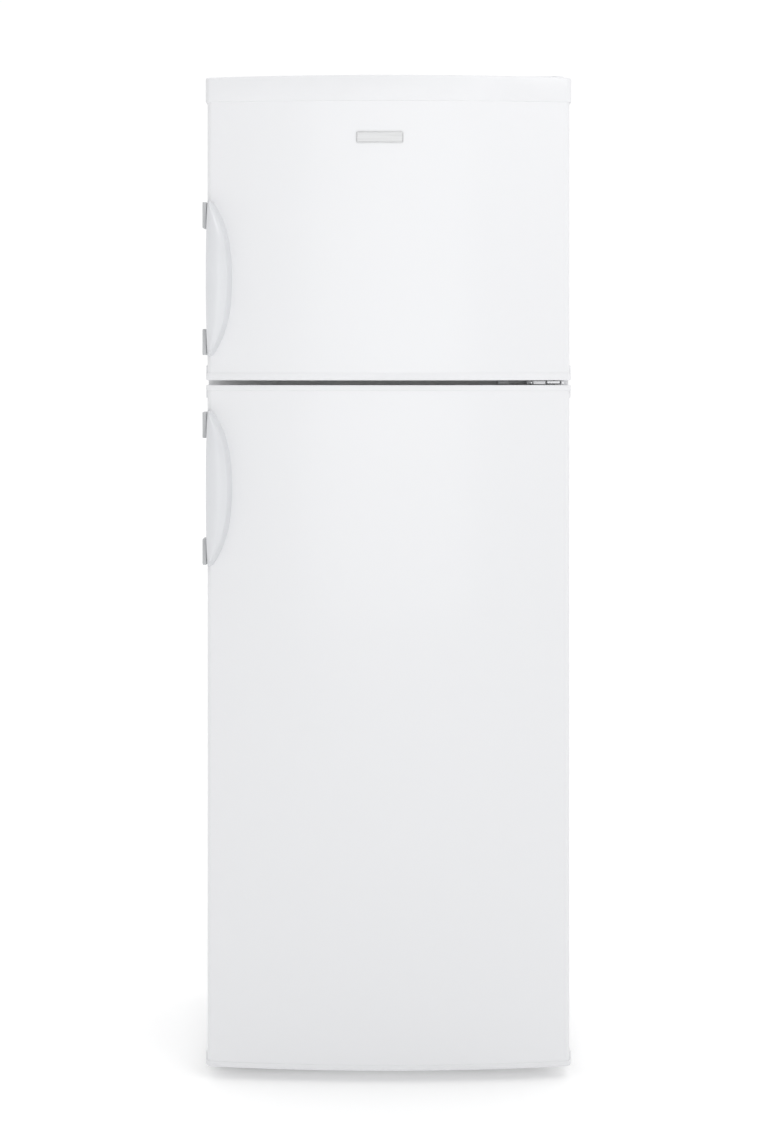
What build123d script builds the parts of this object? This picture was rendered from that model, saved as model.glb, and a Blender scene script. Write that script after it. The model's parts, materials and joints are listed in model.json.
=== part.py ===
from build123d import *
import os

# Top freezer refrigerator, millimetres. +Z up, front faces -Y, origin on the floor under the middle.

# ---- overall and doors ----
CABINET_HALF = 295.0
CABINET_FRONT = -221.0
CABINET_BACK = 258.0
CABINET_TOP = 1618.0
TRAY_BOTTOM = 20.0
TRAY_TOP = 22.0
COVER_HEIGHT = 12.0
SHEET = 0.8
LINER = 1.6

DOOR_HALF = 293.0
DOOR_FRONT = -278.0
DOOR_BOW = 24.0
DOOR_CORNER = 9.0
DOOR_BACK = -235.0
FRIDGE_DOOR = (21.0, 1123.0)
FREEZER_DOOR = (1130.5, 1620.0)
CAP_GROW = 2.4
CAP_SKIRT = 12.0
TOP_TRIM_HEIGHT = 40.0
TOP_TRIM_CROWN = 2.0
TOP_TRIM_WALL = 3.0
END_CAP_HEIGHTS = {"fridge": (10.0, 9.0), "freezer": (12.0, TOP_TRIM_HEIGHT)}
DOOR_LINER = 2.0
DOOR_LINER_HALF = 285.0
DYKE_INNER = 205.0
DYKE_OUTER = 228.0
DYKE_DEPTH = 42.0
DYKE_HEIGHT = 26.0

# ---- compartments: half width, back, floor and ceiling of the free space ----
FREEZER_HALF = 240.0
FREEZER_BACK = 205.0
FREEZER_Z = (1172.0, 1560.0)
FRIDGE_HALF = 250.0
FRIDGE_BACK = 205.0
FRIDGE_Z = (62.0, 1090.0)
STEP_FRONT = 45.0
STEP_Z = 285.0
ROOM_FRONT = 87.0
ROOM_TOP = 245.0
LINER_FLANGE = 9.0
PANEL_FLANGE = CABINET_HALF - FRIDGE_HALF - LINER_FLANGE
GASKET_WIDTH = 16.0
GASKET_DEPTH = 11.6

# ---- hinges ----
HINGE_X = 272.0
HINGE_Y = -257.0
PIN_RADIUS = 4.5
RUNNING_FIT = 0.05
HINGE_END = 9.0
TOP_HINGE_Z = 1621.3
MIDDLE_HINGE_Z = (1124.3, 1129.2)
BOTTOM_HINGE_Z = 17.5
HINGE_PLATE = 2.4
MIDDLE_HINGE_FRONT = -278.0
MIDDLE_HINGE_SCREWS = [(x, z) for x in (208, 262) for z in (1136, 1117)]

# ---- handles: middle height of each, and the D outline ----
HANDLE_MIDDLES = {"freezer": 1294.5, "fridge": 956.5}
HANDLE_HALF = 125.0
HANDLE_LEFT = -292.6
HANDLE_RIGHT = -253.5
HANDLE_FRONT = -310.0
HANDLE_WALL = 5.0
GRIP_RIDGE_X = -266.0
GRIP_LEFT_Y = -303.5
GRIP_RIGHT_Y = -300.0
HANDLE_END_BLOCK = 43.0
SIDE_CAP_HALF = 21.0
SIDE_CAP_X = (-299.6, HANDLE_LEFT)
SIDE_CAP_Y = (-292.0, -256.0)

# ---- shelves, bins, drawers ----
SHELF_FRONT = -133.0
SHELF_BACK = 172.0
SHELF_HEIGHTS = (270.0, 470.0, 665.0, 860.0)
GLASS = 4.0
GLASS_HALF = 242.0
BIN_FRONT = -147.0
BIN_WALL = 2.0
FRIDGE_BINS = ((265.0, 375.0), (500.0, 572.0), (715.0, 787.0), (902.0, 990.0))
FREEZER_BINS = ((1214.0, 1280.0), (1400.0, 1466.0))
FREEZER_BIN_FRONT = -160.0
DAIRY_HINGE = (-222.0, 1001.0)
DAIRY_PIN = 2.5
FREEZER_SHELF_Z = 1368.0
CRISPER_Z = (66.0, 258.0)
CRISPER_FRONT = -133.0
CRISPER_BACK = 38.0
CRISPER_SPLIT = 3.0
CRISPER_OUTER = 238.0

# ---- cooling machinery ----
COMPRESSOR = (60.0, 170.0)
COMPRESSOR_RADIUS = 72.0
COMPRESSOR_Z = (44.0, 188.0)
COMPRESSOR_FEET = [(COMPRESSOR[0] + i * 88, COMPRESSOR[1] + j * 44) for i in (-1, 1) for j in (-1, 1)]
CONDENSER_Y = 296.0
CONDENSER_HALF = 225.0
CONDENSER_Z = (330.0, 1530.0)
CONDENSER_RUNS = 21
CONDENSER_WIRES = 25
PIPE = 2.5
PIPE_GROMMET = (-200.0, 200.0)
FAN_CENTRE = (0.0, 1475.0)
FAN_RADIUS = 50.0
FAN_Y = (140.0, 158.0)
EVAPORATOR_COVER_Y = 122.0

# ---- small moving pieces ----
TRAY_AXIS = (-160.0, 1436.0)
TRAY_PIN = 3.0
KNOB_AXIS = (70.0, 1068.0)
CONTROL_FRONT = -60.0
BUTTON_AXIS = (-238.0, 1114.0)
FOOT_X = 222.0
FOOT_Y = -190.0
FOOT_STUD = 5.0
ROLLER_X = 240.0
ROLLER_Y = 232.0
ROLLER_RADIUS = 12.0
AXLE_RADIUS = 2.5

os.makedirs("parts", exist_ok=True)


def save(builder, name):
    builder.part.label = name
    export_step(builder.part, f"parts/{name}.step")


def block(x, y, z, mode=Mode.ADD):
    """A box from its (low, high) pairs, in the part being built."""
    middle = ((x[0] + x[1]) / 2, (y[0] + y[1]) / 2, (z[0] + z[1]) / 2)
    with Locations(middle):
        Box(x[1] - x[0], y[1] - y[0], z[1] - z[0], mode=mode)


def rod(start, length, radius, direction, mode=Mode.ADD):
    """A cylinder from its start point along a direction, in the part being built."""
    base = Plane(origin=start, z_dir=direction)
    with Locations(base.location):
        Cylinder(radius, length, align=(Align.CENTER, Align.CENTER, Align.MIN), mode=mode)


def tray(x, y, z, wall, mode=Mode.ADD):
    """An open-topped box with walls of one thickness."""
    block(x, y, z, mode)
    inner_x = (x[0] + wall, x[1] - wall)
    inner_y = (y[0] + wall, y[1] - wall)
    block(inner_x, inner_y, (z[0] + wall, z[1] + 1), Mode.SUBTRACT)


def pipe(points, bend, radius=PIPE):
    """A round tube along straight runs joined by equal bends."""
    with BuildLine() as route:
        FilletPolyline(*points, radius=bend)
    start = route.line @ 0
    with BuildSketch(Plane(origin=start, z_dir=route.line % 0)) as section:
        Circle(radius)
    sweep(section.sketch, path=route.line)


def door_plan(height, grow=0.0, back=DOOR_BACK):
    """The door seen from above: straight back, bowed front, rounded front corners."""
    half = DOOR_HALF + grow
    front = DOOR_FRONT - grow
    with BuildSketch(Plane.XY.offset(height)) as plan:
        with BuildLine():
            Polyline((half, front), (half, back), (-half, back), (-half, front))
            ThreePointArc((-half, front), (0, front - DOOR_BOW), (half, front))
        make_face()
        fillet(plan.vertices().group_by(Axis.Y)[0], DOOR_CORNER + grow)
    return plan.sketch


def shelf_depth(height):
    """Front and back of a shelf: the lowest one stops at the step over the compressor."""
    return SHELF_FRONT, SHELF_BACK if height > STEP_Z else STEP_FRONT - 3


# ================= cabinet shell =================

def side_panel(side):
    outer = side * CABINET_HALF
    inner = side * (CABINET_HALF - SHEET)
    wall = sorted((outer, inner))
    front_flange = sorted((inner, side * (CABINET_HALF - PANEL_FLANGE)))
    rear_flange = sorted((inner, side * (CABINET_HALF - 14)))
    height = (TRAY_TOP, CABINET_TOP - COVER_HEIGHT)
    with BuildPart() as panel:
        block(wall, (CABINET_FRONT, CABINET_BACK), height)
        block(front_flange, (CABINET_FRONT, CABINET_FRONT + SHEET), height)
        block(rear_flange, (CABINET_BACK - SHEET, CABINET_BACK), height)
    return panel


save(side_panel(-1), "side_panel_left")
save(side_panel(1), "side_panel_right")

with BuildPart() as top_cover:
    depth = (CABINET_FRONT, CABINET_BACK)
    block((-CABINET_HALF, CABINET_HALF), depth, (CABINET_TOP - COVER_HEIGHT, CABINET_TOP))
    fillet(top_cover.edges().filter_by(Axis.Z), 6)
    fillet(top_cover.faces().sort_by(Axis.Z)[-1].edges(), 2.5)
    block((196, 286), (-217, -150), (CABINET_TOP - 1, TOP_HINGE_Z))
    hollow = CABINET_HALF - 3
    hollow_z = (CABINET_TOP - COVER_HEIGHT - 1, CABINET_TOP - 3)
    block((-hollow, hollow), (depth[0] + 3, depth[1] - 3), hollow_z, Mode.SUBTRACT)
save(top_cover, "top_cover")

with BuildPart() as rear_panel:
    block((-288, 288), (CABINET_BACK, CABINET_BACK + 1), (ROOM_TOP + 5, CABINET_TOP - COVER_HEIGHT))
save(rear_panel, "rear_panel")

with BuildPart() as front_rails:
    rail_half = CABINET_HALF - PANEL_FLANGE
    rail_y = (CABINET_FRONT, CABINET_FRONT + SHEET)
    rail_heights = (
        (TRAY_TOP, FRIDGE_Z[0] - LINER_FLANGE),
        (FRIDGE_Z[1] + LINER_FLANGE, FREEZER_Z[0] - LINER_FLANGE),
        (FREEZER_Z[1] + LINER_FLANGE, CABINET_TOP - COVER_HEIGHT),
    )
    for rail_z in rail_heights:
        block((-rail_half, rail_half), rail_y, rail_z)
    rod((BUTTON_AXIS[0], CABINET_FRONT - 1, BUTTON_AXIS[1]), 3, 6.0, (0, 1, 0), Mode.SUBTRACT)
save(front_rails, "front_rails")

# The foam is poured in one go. It is drawn as slabs that meet face to face.
FOAM_FRONT = CABINET_FRONT + LINER + 0.2
FOAM_BACK = CABINET_BACK - SHEET
FOAM_SIDE = CABINET_HALF - SHEET
FOAM_TOP = CABINET_TOP - COVER_HEIGHT
WALL_IN = FRIDGE_HALF + LINER
FREEZER_IN = FREEZER_HALF + LINER
BUTTON_BAY = -224.0
FREEZER_BAND = (FREEZER_Z[0] - LINER, FREEZER_Z[1] + LINER)
foam_slabs = (
    ((-FOAM_SIDE, -WALL_IN), (FOAM_FRONT, FOAM_BACK), (TRAY_TOP, FOAM_TOP)),
    ((WALL_IN, FOAM_SIDE), (FOAM_FRONT, FOAM_BACK), (TRAY_TOP, FOAM_TOP)),
    ((-WALL_IN, -FREEZER_IN), (FOAM_FRONT, FREEZER_BACK + LINER), FREEZER_BAND),
    ((FREEZER_IN, WALL_IN), (FOAM_FRONT, FREEZER_BACK + LINER), FREEZER_BAND),
    ((-WALL_IN, WALL_IN), (FRIDGE_BACK + LINER, FOAM_BACK), (STEP_Z - LINER, FOAM_TOP)),
    ((-WALL_IN, WALL_IN), (FOAM_FRONT, FRIDGE_BACK + LINER), (FREEZER_Z[1] + LINER, FOAM_TOP)),
    ((BUTTON_BAY, WALL_IN), (FOAM_FRONT, FRIDGE_BACK + LINER), (FRIDGE_Z[1] + LINER, FREEZER_Z[0] - LINER)),
    ((-WALL_IN, WALL_IN), (FOAM_FRONT, STEP_FRONT + LINER), (42, FRIDGE_Z[0] - LINER)),
    ((-WALL_IN, WALL_IN), (STEP_FRONT + LINER, ROOM_FRONT), (TRAY_TOP, STEP_Z - LINER)),
    ((-WALL_IN, WALL_IN), (ROOM_FRONT, FOAM_BACK), (ROOM_TOP, STEP_Z - LINER)),
)


def foam_slab(x, y, z):
    with BuildPart() as slab:
        block(x, y, z)
    return slab.part


foam = Compound(children=[foam_slab(*limits) for limits in foam_slabs], label="insulation_foam")
export_step(foam, "parts/insulation_foam.step")


with BuildPart() as machine_room_shield:
    block((-WALL_IN, WALL_IN), (ROOM_FRONT, CABINET_BACK), (TRAY_TOP, ROOM_TOP))
    inside = WALL_IN - SHEET
    block((-inside, inside), (ROOM_FRONT + SHEET, CABINET_BACK + 1), (0, ROOM_TOP - SHEET), Mode.SUBTRACT)
    flange_y = (CABINET_BACK, CABINET_BACK + SHEET)
    flange_top = ROOM_TOP + 4.9
    block((-288, 288), flange_y, (ROOM_TOP - SHEET, flange_top))
    for side in (-1, 1):
        block(sorted((side * inside, side * 288)), flange_y, (TRAY_TOP, flange_top))
    rod((PIPE_GROMMET[0], ROOM_FRONT - 1, PIPE_GROMMET[1]), 3, 9, (0, 1, 0), Mode.SUBTRACT)
save(machine_room_shield, "machine_room_shield")


def liner_shell(half, back, floor, ceiling):
    """A thin box open to the front, with a flange around its mouth."""
    with BuildPart() as shell:
        outer = half + LINER
        block((-outer, outer), (CABINET_FRONT, back + LINER), (floor - LINER, ceiling + LINER))
        lip = CABINET_HALF - PANEL_FLANGE
        lip_z = (floor - LINER_FLANGE, ceiling + LINER_FLANGE)
        block((-lip, lip), (CABINET_FRONT, CABINET_FRONT + LINER), lip_z)
        block((-half, half), (CABINET_FRONT - 1, back), (floor, ceiling), Mode.SUBTRACT)
    return shell


save(liner_shell(FREEZER_HALF, FREEZER_BACK, *FREEZER_Z), "freezer_liner")

with BuildPart() as fridge_liner:
    add(liner_shell(FRIDGE_HALF, FRIDGE_BACK, *FRIDGE_Z).part)
    step_y = (STEP_FRONT, FRIDGE_BACK + LINER)
    outer = FRIDGE_HALF + LINER
    block((-outer, outer), step_y, (FRIDGE_Z[0] - LINER, STEP_Z), Mode.SUBTRACT)
    block((-outer, outer), (STEP_FRONT, STEP_FRONT + LINER), (FRIDGE_Z[0] - LINER, STEP_Z))
    block((-outer, outer), step_y, (STEP_Z - LINER, STEP_Z))
    for side in (-1, 1):
        rib_x = sorted((side * FRIDGE_HALF, side * (FRIDGE_HALF - 5)))
        for shelf_z in SHELF_HEIGHTS:
            front, back = shelf_depth(shelf_z)
            block(rib_x, (front + 18, back - 16), (shelf_z - 10, shelf_z - 0.2))
save(fridge_liner, "fridge_liner")

with BuildPart() as base_tray:
    block((-294, 294), (CABINET_FRONT, CABINET_BACK), (TRAY_BOTTOM, TRAY_TOP))
    for side in (-1, 1):
        with Locations((side * FOOT_X, FOOT_Y, TRAY_TOP + 6)):
            Cylinder(12, 12)
        with Locations((side * FOOT_X, FOOT_Y, TRAY_TOP + 5)):
            Cylinder(FOOT_STUD + RUNNING_FIT, 40, mode=Mode.SUBTRACT)
        slot_x = (side * ROLLER_X - 10, side * ROLLER_X + 10)
        slot_y = (ROLLER_Y - 15, ROLLER_Y + 15)
        block(slot_x, slot_y, (TRAY_BOTTOM - 1, TRAY_TOP + 1), Mode.SUBTRACT)
        for ear in (-1, 1):
            ear_x = side * ROLLER_X + ear * 11.2
            block((ear_x - 1.2, ear_x + 1.2), slot_y, (5, TRAY_TOP))
            start = (ear_x - 2, ROLLER_Y, ROLLER_RADIUS)
            rod(start, 4, AXLE_RADIUS + RUNNING_FIT, (1, 0, 0), Mode.SUBTRACT)
save(base_tray, "base_tray")


# ================= hinges =================

def hinge_plate(height, mount_x, mount_y, thickness=HINGE_PLATE):
    """A flat arm with a rounded end around the pin."""
    with BuildSketch(Plane.XY.offset(height)) as arm:
        with BuildLine():
            Polyline(
                (mount_x[0], mount_y[1]),
                (mount_x[0], mount_y[0]),
                (HINGE_X - HINGE_END - 6, mount_y[0]),
                (HINGE_X - HINGE_END, HINGE_Y),
                (HINGE_X, HINGE_Y - 0.1),
                (HINGE_X + HINGE_END, HINGE_Y),
                (HINGE_X + HINGE_END, mount_y[0]),
                (mount_x[1], mount_y[0]),
                (mount_x[1], mount_y[1]),
                close=True,
            )
        make_face()
        with Locations((HINGE_X, HINGE_Y)):
            Circle(HINGE_END)
    extrude(arm.sketch, amount=thickness)


with BuildPart() as top_hinge:
    hinge_plate(TOP_HINGE_Z, (200, 284), (-213, -155))
    rod((HINGE_X, HINGE_Y, TOP_HINGE_Z), 20, PIN_RADIUS, (0, 0, -1))
    with Locations(*[(x, y, TOP_HINGE_Z + 1) for x in (220, 265) for y in (-195, -170)]):
        Cylinder(3.2, 20, mode=Mode.SUBTRACT)
save(top_hinge, "top_hinge")

with BuildPart() as middle_hinge:
    for arm_x, arm_front in (((178, 196), -252), ((196, 225), -238), ((225, 286), MIDDLE_HINGE_FRONT)):
        block(arm_x, (arm_front, CABINET_FRONT), MIDDLE_HINGE_Z)
    front_corners = middle_hinge.edges().filter_by(Axis.Z).sort_by(Axis.Y)[0:2].sort_by(Axis.X)
    fillet(front_corners[1], 7)
    block((196, 286), (CABINET_FRONT - 2, CABINET_FRONT), (1110, 1143))
    rod((HINGE_X, HINGE_Y, 1116), 23, PIN_RADIUS, (0, 0, 1))
    for screw_x, screw_z in MIDDLE_HINGE_SCREWS:
        rod((screw_x, -225, screw_z), 5, 2.6, (0, 1, 0), Mode.SUBTRACT)
    rod((231, MIDDLE_HINGE_FRONT, 1126.75), 2, 2.35, (0, 1, 0), Mode.SUBTRACT)
    for groove_x in ((253.5, 256.5), (276.8, 279.6)):
        block(groove_x, (MIDDLE_HINGE_FRONT - 1, MIDDLE_HINGE_FRONT + 4), MIDDLE_HINGE_Z, Mode.SUBTRACT)
save(middle_hinge, "middle_hinge")

with BuildPart() as bottom_hinge:
    hinge_plate(BOTTOM_HINGE_Z, (180, 286), (-221, -150))
    rod((HINGE_X, HINGE_Y, BOTTOM_HINGE_Z + 1), 10.5, PIN_RADIUS, (0, 0, 1))
    with Locations((FOOT_X, FOOT_Y, BOTTOM_HINGE_Z)):
        Cylinder(FOOT_STUD + 2, 20, mode=Mode.SUBTRACT)
save(bottom_hinge, "bottom_hinge")

with BuildPart() as hinge_screws:
    for screw_x in (220, 265):
        for screw_y in (-195, -170):
            rod((screw_x, screw_y, TOP_HINGE_Z + HINGE_PLATE), 3.6, 5.5, (0, 0, 1))
            rod((screw_x, screw_y, TOP_HINGE_Z), 3.0, 3.1, (0, 0, 1))
    for screw_x, screw_z in MIDDLE_HINGE_SCREWS:
        rod((screw_x, CABINET_FRONT - 4, screw_z), 2, 4.6, (0, 1, 0))
        rod((screw_x, CABINET_FRONT - 2.2, screw_z), 2.2, 2.4, (0, 1, 0))
    rod((231, MIDDLE_HINGE_FRONT + 0.2, 1126.75), 1.8, 1.95, (0, 1, 0))
save(hinge_screws, "hinge_screws")

with BuildPart() as top_hinge_cover:
    cover_top = TOP_HINGE_Z + HINGE_PLATE + 5.6
    block((194, 288), (-219, -148), (TOP_HINGE_Z + 0.1, cover_top))
    fillet(top_hinge_cover.edges().filter_by(Axis.Z), 6)
    fillet(top_hinge_cover.faces().sort_by(Axis.Z)[-1].edges(), 1.4)
    block((196, 286), (-217, -150), (TOP_HINGE_Z, cover_top - 1.6), Mode.SUBTRACT)
    block((250, 286), (-230, -210), (TOP_HINGE_Z, TOP_HINGE_Z + HINGE_PLATE + 0.2), Mode.SUBTRACT)
save(top_hinge_cover, "top_hinge_cover")


# ================= cooling machinery =================

with BuildPart() as compressor:
    low, high = COMPRESSOR_Z
    with Locations((*COMPRESSOR, (low + high) / 2)):
        Cylinder(COMPRESSOR_RADIUS, high - low)
    fillet(compressor.edges().filter_by(GeomType.CIRCLE), 32)
    with Locations((*COMPRESSOR, (low + high) / 2 + 12)):
        Cylinder(COMPRESSOR_RADIUS + 4, 4)
    block((COMPRESSOR[0] - 100, COMPRESSOR[0] + 100), (COMPRESSOR[1] - 55, COMPRESSOR[1] + 55), (38, 41))
    with Locations((*COMPRESSOR, 43)):
        Cylinder(44, 5)
    with Locations(*[(x, y, 40) for x, y in COMPRESSOR_FEET]):
        Cylinder(6, 10, mode=Mode.SUBTRACT)
save(compressor, "compressor")

with BuildPart() as rubber_grommets:
    with Locations(*[(x, y, TRAY_TOP) for x, y in COMPRESSOR_FEET]):
        Cylinder(12, 16, align=(Align.CENTER, Align.CENTER, Align.MIN))
        Cylinder(5.8, 23, align=(Align.CENTER, Align.CENTER, Align.MIN))
    rod((PIPE_GROMMET[0], ROOM_FRONT, PIPE_GROMMET[1]), 14, 9, (0, 1, 0))
    rod((PIPE_GROMMET[0], ROOM_FRONT, PIPE_GROMMET[1]), 15, 4, (0, 1, 0), Mode.SUBTRACT)
save(rubber_grommets, "rubber_grommets")

with BuildPart() as start_relay_box:
    block((COMPRESSOR[0] + 77, COMPRESSOR[0] + 113), (148, 196), (72, 128))
    fillet(start_relay_box.edges(), 3)
save(start_relay_box, "start_relay_box")

with BuildPart() as drip_pan:
    tray((-50, 170), (98, 246), (193, 226), 2)
    fillet(drip_pan.edges().filter_by(Axis.Z), 0.9)
save(drip_pan, "drip_pan")

with BuildPart() as condenser_coil:
    low, high = CONDENSER_Z
    pitch = (high - low) / (CONDENSER_RUNS - 1)
    turns = []
    for run in range(CONDENSER_RUNS):
        ends = (-CONDENSER_HALF, CONDENSER_HALF) if run % 2 == 0 else (CONDENSER_HALF, -CONDENSER_HALF)
        turns += [(ends[0], CONDENSER_Y, low + run * pitch), (ends[1], CONDENSER_Y, low + run * pitch)]
    pipe(turns, 20)
save(condenser_coil, "condenser_coil")

with BuildPart() as condenser_wires:
    wire_start = CONDENSER_Z[0] - 12
    wire_length = CONDENSER_Z[1] - CONDENSER_Z[0] + 24
    clip_y = (CABINET_BACK + 1, CONDENSER_Y - PIPE - 1.8)
    wire_gap = 2 * (CONDENSER_HALF - 14) / (CONDENSER_WIRES - 1)
    for number in range(CONDENSER_WIRES):
        wire_x = -CONDENSER_HALF + 14 + number * wire_gap
        rod((wire_x, CONDENSER_Y - PIPE - 0.8, wire_start), wire_length, 0.8, (0, 0, 1))
    for clip_x in (-150, 150):
        for clip_z in (420, 1440):
            block((clip_x - 8, clip_x + 8), clip_y, (clip_z - 12, clip_z + 12))
save(condenser_wires, "condenser_wires")

with BuildPart() as refrigerant_pipes:
    roof = ROOM_TOP - SHEET
    rise = (-212, CONDENSER_Y, 326)
    pipe([(-212, 150, 60), (-212, 226, 60), (-212, 226, 236), (-212, CONDENSER_Y, 236), rise], 18)
    pipe([(-16, 170, 80), (-80, 170, 80), (-80, 130, 80), (-180, 130, 80), (-180, 130, roof)], 14)
    rod((-140, 215, 70), 110, 10, (0, 0, 1))
    pipe([(-140, 215, 180), (-140, 215, 215), (-110, 215, 215), (-110, 215, roof)], 8)
save(refrigerant_pipes, "refrigerant_pipes")

with BuildPart() as evaporator:
    with Locations(*[(-203 + fin * 14, 172, 1270) for fin in range(30)]):
        Box(0.8, 50, 170)
    for tube_z in range(1200, 1350, 28):
        rod((-212, 160, tube_z), 424, 4, (1, 0, 0))
        rod((-212, 184, tube_z), 424, 4, (1, 0, 0))
save(evaporator, "evaporator")

with BuildPart() as evaporator_cover:
    cover_y = (EVAPORATOR_COVER_Y, EVAPORATOR_COVER_Y + 3)
    block((-239, 239), cover_y, (FREEZER_Z[0] + 1, FREEZER_Z[1] - 1))
    for slot in range(-3, 4):
        half = (FAN_RADIUS ** 2 - (slot * 13) ** 2) ** 0.5
        height = FAN_CENTRE[1] + slot * 13
        block((-half, half), (cover_y[0] - 1, cover_y[1] + 1), (height - 4, height + 4), Mode.SUBTRACT)
    with Locations(*[(-200 + i * 25, EVAPORATOR_COVER_Y, FREEZER_Z[0] + 22) for i in range(17)]):
        Box(14, 10, 16, mode=Mode.SUBTRACT)
save(evaporator_cover, "evaporator_cover")

with BuildPart() as fan_motor:
    rod((FAN_CENTRE[0], FAN_Y[1] + 4, FAN_CENTRE[1]), 30, 24, (0, 1, 0))
    rod((FAN_CENTRE[0], FAN_Y[0], FAN_CENTRE[1]), 26, 2.0, (0, 1, 0))
    strap_z = (FAN_CENTRE[1] - 9, FAN_CENTRE[1] + 9)
    block((-62, 62), (FAN_Y[1] + 30, FAN_Y[1] + 33), strap_z)
    for side in (-62, 60):
        block((side, side + 2), (EVAPORATOR_COVER_Y + 3, FAN_Y[1] + 33), strap_z)
save(fan_motor, "fan_motor")

with BuildPart() as fan_impeller:
    hub = Plane(origin=(FAN_CENTRE[0], FAN_Y[0], FAN_CENTRE[1]), z_dir=(0, 1, 0))
    with Locations(hub.location):
        Cylinder(13, 16, align=(Align.CENTER, Align.CENTER, Align.MIN))
    with Locations(hub.offset(8).location):
        with PolarLocations(28, 6):
            Box(36, 22, 1.6, rotation=(32, 0, 0))
    with Locations(hub.location):
        Cylinder(2.0 + RUNNING_FIT, 60, mode=Mode.SUBTRACT)
save(fan_impeller, "fan_impeller")


# ================= compartment fittings =================

with BuildPart() as freezer_shelf:
    shelf_y = (-118, 116)
    block((-237, 237), shelf_y, (FREEZER_SHELF_Z, FREEZER_SHELF_Z + 6))
    with GridLocations(0, 18, 1, 12):
        with Locations((90, -1, FREEZER_SHELF_Z + 3)):
            Box(270, 11, 10, mode=Mode.SUBTRACT)
    frame_z = (FREEZER_SHELF_Z + 6, TRAY_AXIS[1] + 12)
    for frame_y in (-112, 104):
        block((TRAY_AXIS[0] - 62, TRAY_AXIS[0] + 62), (frame_y, frame_y + 4), frame_z)
        start = (TRAY_AXIS[0], frame_y - 1, TRAY_AXIS[1])
        rod(start, 6, TRAY_PIN + RUNNING_FIT, (0, 1, 0), Mode.SUBTRACT)
save(freezer_shelf, "freezer_shelf")

with BuildPart() as ice_tray:
    tray_y = (-105, 101)
    block((TRAY_AXIS[0] - 48, TRAY_AXIS[0] + 48), tray_y, (TRAY_AXIS[1] - 16, TRAY_AXIS[1] + 12))
    inside = (TRAY_AXIS[0] - 46, TRAY_AXIS[0] + 46)
    block(inside, (tray_y[0] + 2, tray_y[1] - 2), (TRAY_AXIS[1] - 2, TRAY_AXIS[1] + 13), Mode.SUBTRACT)
    with Locations((TRAY_AXIS[0], -2, TRAY_AXIS[1] - 1)):
        with GridLocations(46, 33, 2, 6):
            Box(42, 30, 26, mode=Mode.SUBTRACT)
    rod((TRAY_AXIS[0], -124, TRAY_AXIS[1]), 22, TRAY_PIN, (0, 1, 0))
    rod((TRAY_AXIS[0], 99, TRAY_AXIS[1]), 9, TRAY_PIN, (0, 1, 0))
    block((TRAY_AXIS[0] - 5, TRAY_AXIS[0] + 5), (-124, -116), (TRAY_AXIS[1] - 8, TRAY_AXIS[1] + 34))
save(ice_tray, "ice_tray")

with BuildPart() as air_duct_cover:
    duct_z = (560, 1040)
    block((-62, 62), (FRIDGE_BACK - 16, FRIDGE_BACK), duct_z)
    fillet(air_duct_cover.edges().filter_by(Axis.Z).group_by(Axis.Y)[0], 8)
    block((-59, 59), (FRIDGE_BACK - 13, FRIDGE_BACK + 1), (duct_z[0] + 3, duct_z[1] - 3), Mode.SUBTRACT)
    for slot_z in (620, 640, 660, 780, 800, 820, 940, 960, 980):
        block((-40, 40), (FRIDGE_BACK - 18, FRIDGE_BACK - 12), (slot_z - 4, slot_z + 4), Mode.SUBTRACT)
save(air_duct_cover, "air_duct_cover")

with BuildPart() as control_housing:
    housing_z = (1046, FRIDGE_Z[1])
    block((-120, 120), (CONTROL_FRONT, 110), housing_z)
    fillet(control_housing.edges().filter_by(Axis.Z), 8)
    block((-117, 117), (CONTROL_FRONT + 3, 107), (housing_z[0] + 3, housing_z[1] + 1), Mode.SUBTRACT)
    block((-96, -8), (-46, 46), (housing_z[0] - 1, housing_z[0] + 4), Mode.SUBTRACT)
    start = (KNOB_AXIS[0], CONTROL_FRONT - 1, KNOB_AXIS[1])
    rod(start, 6, 3.5 + RUNNING_FIT, (0, 1, 0), Mode.SUBTRACT)
save(control_housing, "control_housing")

with BuildPart() as thermostat_knob:
    rod((KNOB_AXIS[0], CONTROL_FRONT - 16, KNOB_AXIS[1]), 15, 15, (0, 1, 0))
    fillet(thermostat_knob.faces().sort_by(Axis.Y)[0].edges(), 2)
    rod((KNOB_AXIS[0], CONTROL_FRONT - 2, KNOB_AXIS[1]), 20, 3.5, (0, 1, 0))
    pointer_z = (KNOB_AXIS[1] - 14, KNOB_AXIS[1] + 14)
    block((KNOB_AXIS[0] - 2, KNOB_AXIS[0] + 2), (CONTROL_FRONT - 20, CONTROL_FRONT - 10), pointer_z)
save(thermostat_knob, "thermostat_knob")

with BuildPart() as lamp_bulb:
    with Locations((-52, -2, 1068)):
        Sphere(12)
    rod((-52, 5, 1068), 22, 7, (0, 1, 0))
    rod((-52, 24, 1068), 16, 10, (0, 1, 0))
save(lamp_bulb, "lamp_bulb")

with BuildPart() as lamp_lens:
    block((-102, -2), (-52, 52), (1030, 1046))
    fillet(lamp_lens.faces().sort_by(Axis.Z)[0].edges(), 5)
    block((-99, -5), (-49, 49), (1033, 1047), Mode.SUBTRACT)
save(lamp_lens, "lamp_lens")

with BuildPart() as glass_shelves:
    for shelf_z in SHELF_HEIGHTS:
        front, back = shelf_depth(shelf_z)
        block((-GLASS_HALF, GLASS_HALF), (front + 4, back - 4), (shelf_z, shelf_z + GLASS))
save(glass_shelves, "glass_shelves")

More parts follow.
